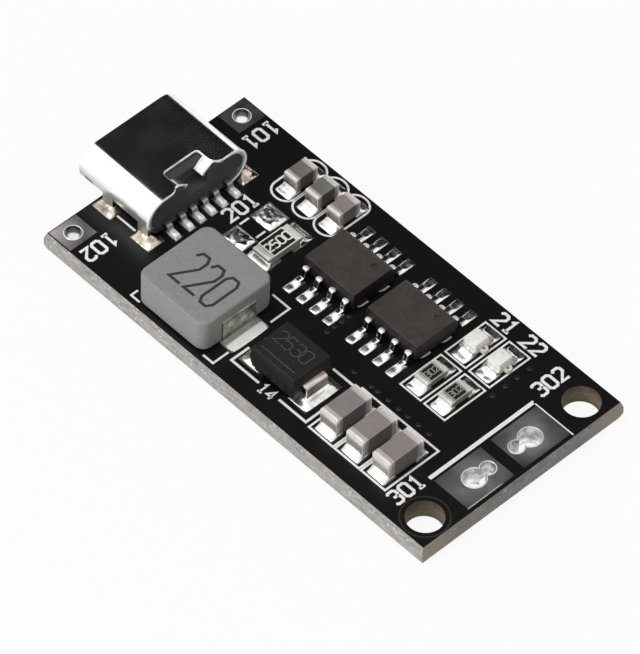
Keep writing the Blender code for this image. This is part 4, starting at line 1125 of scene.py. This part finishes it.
def painted_highlight_edge(finish, low, high, spread):
    """A mask for a painted highlight: 1 on the rounded top edge of each cap, less on the rest of its top and
    half that on the caps' upright edges. It fades out down the cap over spread widths of the edge."""
    edge = 0.2 * (high[2] - low[2])
    half = [(high[k] - low[k]) / 2 for k in range(2)]
    away = [abs(finish.across[k] - (low[k] + high[k]) / 2) for k in range(2)]
    end = away[1].fade(half[1] - 1.3 * edge, half[1] - 0.5 * edge)
    end = end.over(away[1].fade(half[1] - 2.2 * edge, half[1] - 1.7 * edge) * 0.4)
    top = finish.across[2].fade(high[2] - spread * edge, high[2] - 0.4 * edge)
    corner = away[0].fade(half[0] - 0.1 * MM, half[0] - 0.03 * MM) * 0.5
    return end * top.over(corner)


def label_chips(piece, finish, nodes, digits, height, pitch, inset, weight):
    """A number on top of each chip, in a frame that stands inset from its ends."""
    bm = bmesh.new()
    for node in nodes:
        low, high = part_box(node)
        base = high[2] - 0.01 * MM
        spot = middle(node)[:2]
        stroke = weight * height * MM
        number(bm, digits, spot, height * MM, pi / 2, stroke, base, high[2] + 0.003 * MM, pitch)
        half_x = (high[0] - low[0]) / 2 - 0.05 * MM
        half_y = (high[1] - low[1]) / 2 - inset * MM
        ribbon(bm, outline(spot, half_x, half_y), 0.09 * MM, base, high[2] + 0.002 * MM)
    new_piece(piece, bm, finish)


class CHARGER_OT_chips(bpy.types.Operator):
    """Finish the capacitors and resistors, and print the resistors' numbers"""

    bl_idname = "charger.chips"
    bl_label = "Capacitors and resistors"

    def execute(self, context):
        bodies = context.scene.charger_body
        metal = context.scene.charger_metal
        dull = scaled(bodies.grey_ceramic, (0.68, 0.7, 0.64))
        # Each capacitor's node, colour, cap reach, and gloom for the painted shade down its caps' ends
        for node, colour, reach, gloom in (
            ("input_capacitor_1", dull, 0.58, 0.75),
            ("input_capacitor_2", dull, 0.58, 0.75),
            ("input_capacitor_3", bodies.brown_ceramic, 0.58, 0.75),
            ("output_capacitor_1", bodies.grey_ceramic, 1.05, 0.4),
            ("output_capacitor_2", bodies.brown_ceramic, 1.05, 0.4),
            ("output_capacitor_3", bodies.brown_ceramic, 1.05, 0.1),
        ):
            finish = chip_finish(f"ceramic of {node}", colour, node, reach, metal, gloom=gloom)
            finish_node(node, finish, split=50)
        pale = (0.86, 0.86, 0.72)
        sense = chip_finish("sense resistor", pale, "sense_resistor", 1.05, metal, bodies.glaze)
        finish_node("sense_resistor", sense)
        small = chip_finish("LED resistor", bodies.alumina, "led_1_resistor", 0.58, metal, bodies.glaze)
        pair = ("led_1_resistor", "led_2_resistor")
        for node in pair:
            finish_node(node, small)
        white = (0.96, 0.96, 0.9)
        ink = moulded_finish("resistor number", white, 0.5, 0.06, (0.6, 0.6, 0.55), 6000.0)
        grey = (0.3, 0.3, 0.25)
        faint = moulded_finish("small resistor number", bodies.alumina, 0.5, 0.06, grey, 6000.0)
        label_chips("resistor_numbers", ink, ("sense_resistor",), "2500", 0.72, 0.76, 0.56, 0.17)
        label_chips("small_resistor_numbers", faint, pair, "302", 0.5, 0.75, 0.44, 0.12)
        return {"FINISHED"}


class CHARGER_OT_leds(bpy.types.Operator):
    """Finish the status LEDs: pale bases with tinned ends and resin lenses"""

    bl_idname = "charger.leds"
    bl_label = "LEDs"

    def execute(self, context):
        resin = Finish("lens resin")
        cloud = resin.grain(2400.0, 0.3)
        resin.shader["Subsurface Weight"].default_value = 0.15
        resin.shader["Subsurface Scale"].default_value = 0.3 * MM
        base = shaded(context.scene.charger_body.lens, cloud["Shade"])
        base = mixed(resin.specks(3000.0, 0.1), base, (0.84, 0.84, 0.72))
        lens = resin.done(base, 0.22, cloud["Height"], 0.02 * MM)
        board = Finish("LED base")
        cap = board.past(board.across[1], 0.66 * MM, 0.02 * MM, middle("led_1_base").y)
        grain = board.grain(3000.0, 0.4)
        base = mixed(cap, shaded((0.8, 0.79, 0.7), grain["Shade"]), context.scene.charger_metal.solder)
        pale = board.done(base, 0.32, grain["Height"], 0.01 * MM, metal=cap * 0.9)
        for led in (1, 2):
            finish_node(f"led_{led}_lens", lens)
            finish_node(f"led_{led}_base", pale)
        return {"FINISHED"}


def seen(tree):
    """A value that is 1 for rays from the camera, in reflections and through clear things."""
    rays = tree.nodes.new("ShaderNodeLightPath").outputs
    direct = Value(rays["Is Camera Ray"]).over(Value(rays["Is Glossy Ray"]))
    return direct.over(Value(rays["Is Transmission Ray"]))


def glow(tree, colour):
    return add(tree, "ShaderNodeEmission", {"Color": colour, "Strength": 1.0}).outputs[0]


def stage_card(name, size, centre, facing, finish):
    """A flat square of the studio, its middle at centre, that faces along facing."""
    bm = bmesh.new()
    bmesh.ops.create_grid(bm, x_segments=2, y_segments=2, size=size / 2)
    turn = Vector(facing).to_track_quat("Z", "Y").to_matrix().to_4x4()
    bmesh.ops.transform(bm, matrix=Matrix.Translation(centre) @ turn, verts=bm.verts)
    item = put_mesh(name, bm, finish)
    return item


def stage_floor(settings):
    finish, tree = new_material("pale floor")
    shader = tree.nodes["Principled BSDF"]
    give(shader.inputs["Base Color"], settings.floor)
    give(shader.inputs["Roughness"], 0.9)
    give(shader.inputs["Specular IOR Level"], 0.0)
    shaders = {0: seen(tree) * 0.9, 1: shader.outputs[0], 2: glow(tree, (1, 1, 1))}
    mix = add(tree, "ShaderNodeMixShader", shaders)
    give(tree.nodes["Material Output"].inputs["Surface"], mix.outputs[0])
    stage_card("floor", 3.0, (0, 0, -0.00005), (0, 0, 1), finish)


def dark_card():
    """A dark card above the far left, seen only in reflections, that darkens level metal."""
    finish, tree = new_material("dark card")
    black = glow(tree, (0.012, 0.012, 0.012))
    give(tree.nodes["Material Output"].inputs["Surface"], black)
    back = Vector((-0.433, 0.658, 0.616)).normalized()
    card = stage_card("dark_card", 0.3, back * 0.3, -back, finish)
    card.visible_camera = False
    card.visible_diffuse = False
    card.visible_transmission = False
    card.visible_shadow = False


def stage_lamp(name, spot, size, power):
    """A square lamp that faces the middle of the board."""
    lamp = bpy.data.lights.new(name, "AREA")
    lamp.shape = "SQUARE"
    lamp.size = size
    lamp.energy = power
    item = put(name, lamp)
    item.location = spot
    item.rotation_mode = "QUATERNION"
    item.rotation_quaternion = Vector(spot).to_track_quat("Z", "Y")


def stage_sky(level):
    world = bpy.data.worlds.new("studio sky")
    bpy.context.scene.world = world
    world.use_nodes = True
    light = world.node_tree.nodes["Background"]
    give(light.inputs["Color"], (1, 1, 1))
    give(light.inputs["Strength"], blend(seen(world.node_tree), level, 1.0))


def stage_camera():
    data = bpy.data.cameras.new("camera")
    data.sensor_width = 36.0
    data.lens = 422.2
    data.clip_start = 0.01
    data.clip_end = 10.0
    item = put("camera", data)
    forward = Vector((-0.45269, 0.45302, -0.76801)).normalized()
    up = Vector((-0.56754, 0.51794, 0.64004))
    right = forward.cross(up).normalized()
    up = right.cross(forward)
    turn = Matrix((right, up, -forward)).transposed().to_4x4()
    item.matrix_world = Matrix.Translation((0.22966, -0.23088, 0.39105)) @ turn
    bpy.context.scene.camera = item


class CHARGER_OT_stage(bpy.types.Operator):
    """Build the studio: floor, lamps, dark card, sky and the photograph's camera"""

    bl_idname = "charger.stage"
    bl_label = "Stage"

    def execute(self, context):
        settings = context.scene.charger_stage
        stage_floor(settings)
        stage_lamp("key_lamp", (-0.12, -0.55, 0.26), 0.36, 1.55 * settings.key)
        stage_lamp("top_lamp", (-0.1, -0.08, 0.7), 0.5, 1.2 * settings.top)
        dark_card()
        stage_sky(settings.sky)
        stage_camera()
        context.scene.view_settings.view_transform = "Standard"
        return {"FINISHED"}


class CHARGER_PT_panel(bpy.types.Panel):
    """Lists the operators and settings of the charger board"""

    bl_idname = "CHARGER_PT_panel"
    bl_label = "Charger board"
    bl_space_type = "VIEW_3D"
    bl_region_type = "UI"
    bl_category = "Charger board"

    def draw(self, context):
        for operator in OPERATORS:
            self.layout.operator(operator.bl_idname)
        for name in SETTINGS:
            group = getattr(context.scene, name)
            for item in group.bl_rna.properties:
                if item.identifier not in ("rna_type", "name"):
                    self.layout.prop(group, item.identifier)


SETTINGS = {
    "charger_board": ChargerBoardSettings,
    "charger_metal": ChargerMetalSettings,
    "charger_body": ChargerBodySettings,
    "charger_stage": ChargerStageSettings,
}
OPERATORS = (
    CHARGER_OT_effects,
    CHARGER_OT_board,
    CHARGER_OT_print,
    CHARGER_OT_solder,
    CHARGER_OT_receptacle,
    CHARGER_OT_inductor,
    CHARGER_OT_semiconductors,
    CHARGER_OT_chips,
    CHARGER_OT_leds,
    CHARGER_OT_stage,
)


def register():
    for name, settings in SETTINGS.items():
        bpy.utils.register_class(settings)
        setattr(bpy.types.Scene, name, bpy.props.PointerProperty(type=settings))
    for operator in OPERATORS:
        bpy.utils.register_class(operator)
    bpy.utils.register_class(CHARGER_PT_panel)


def unregister():
    bpy.utils.unregister_class(CHARGER_PT_panel)
    for operator in reversed(OPERATORS):
        bpy.utils.unregister_class(operator)
    for name, settings in SETTINGS.items():
        delattr(bpy.types.Scene, name)
        bpy.utils.unregister_class(settings)


def main():
    register()
    bpy.ops.charger.effects()
    bpy.ops.charger.board()
    bpy.ops.charger.print()
    bpy.ops.charger.solder()
    bpy.ops.charger.receptacle()
    bpy.ops.charger.inductor()
    bpy.ops.charger.semiconductors()
    bpy.ops.charger.chips()
    bpy.ops.charger.leds()
    bpy.ops.charger.stage()


if __name__ == "__main__":
    main()
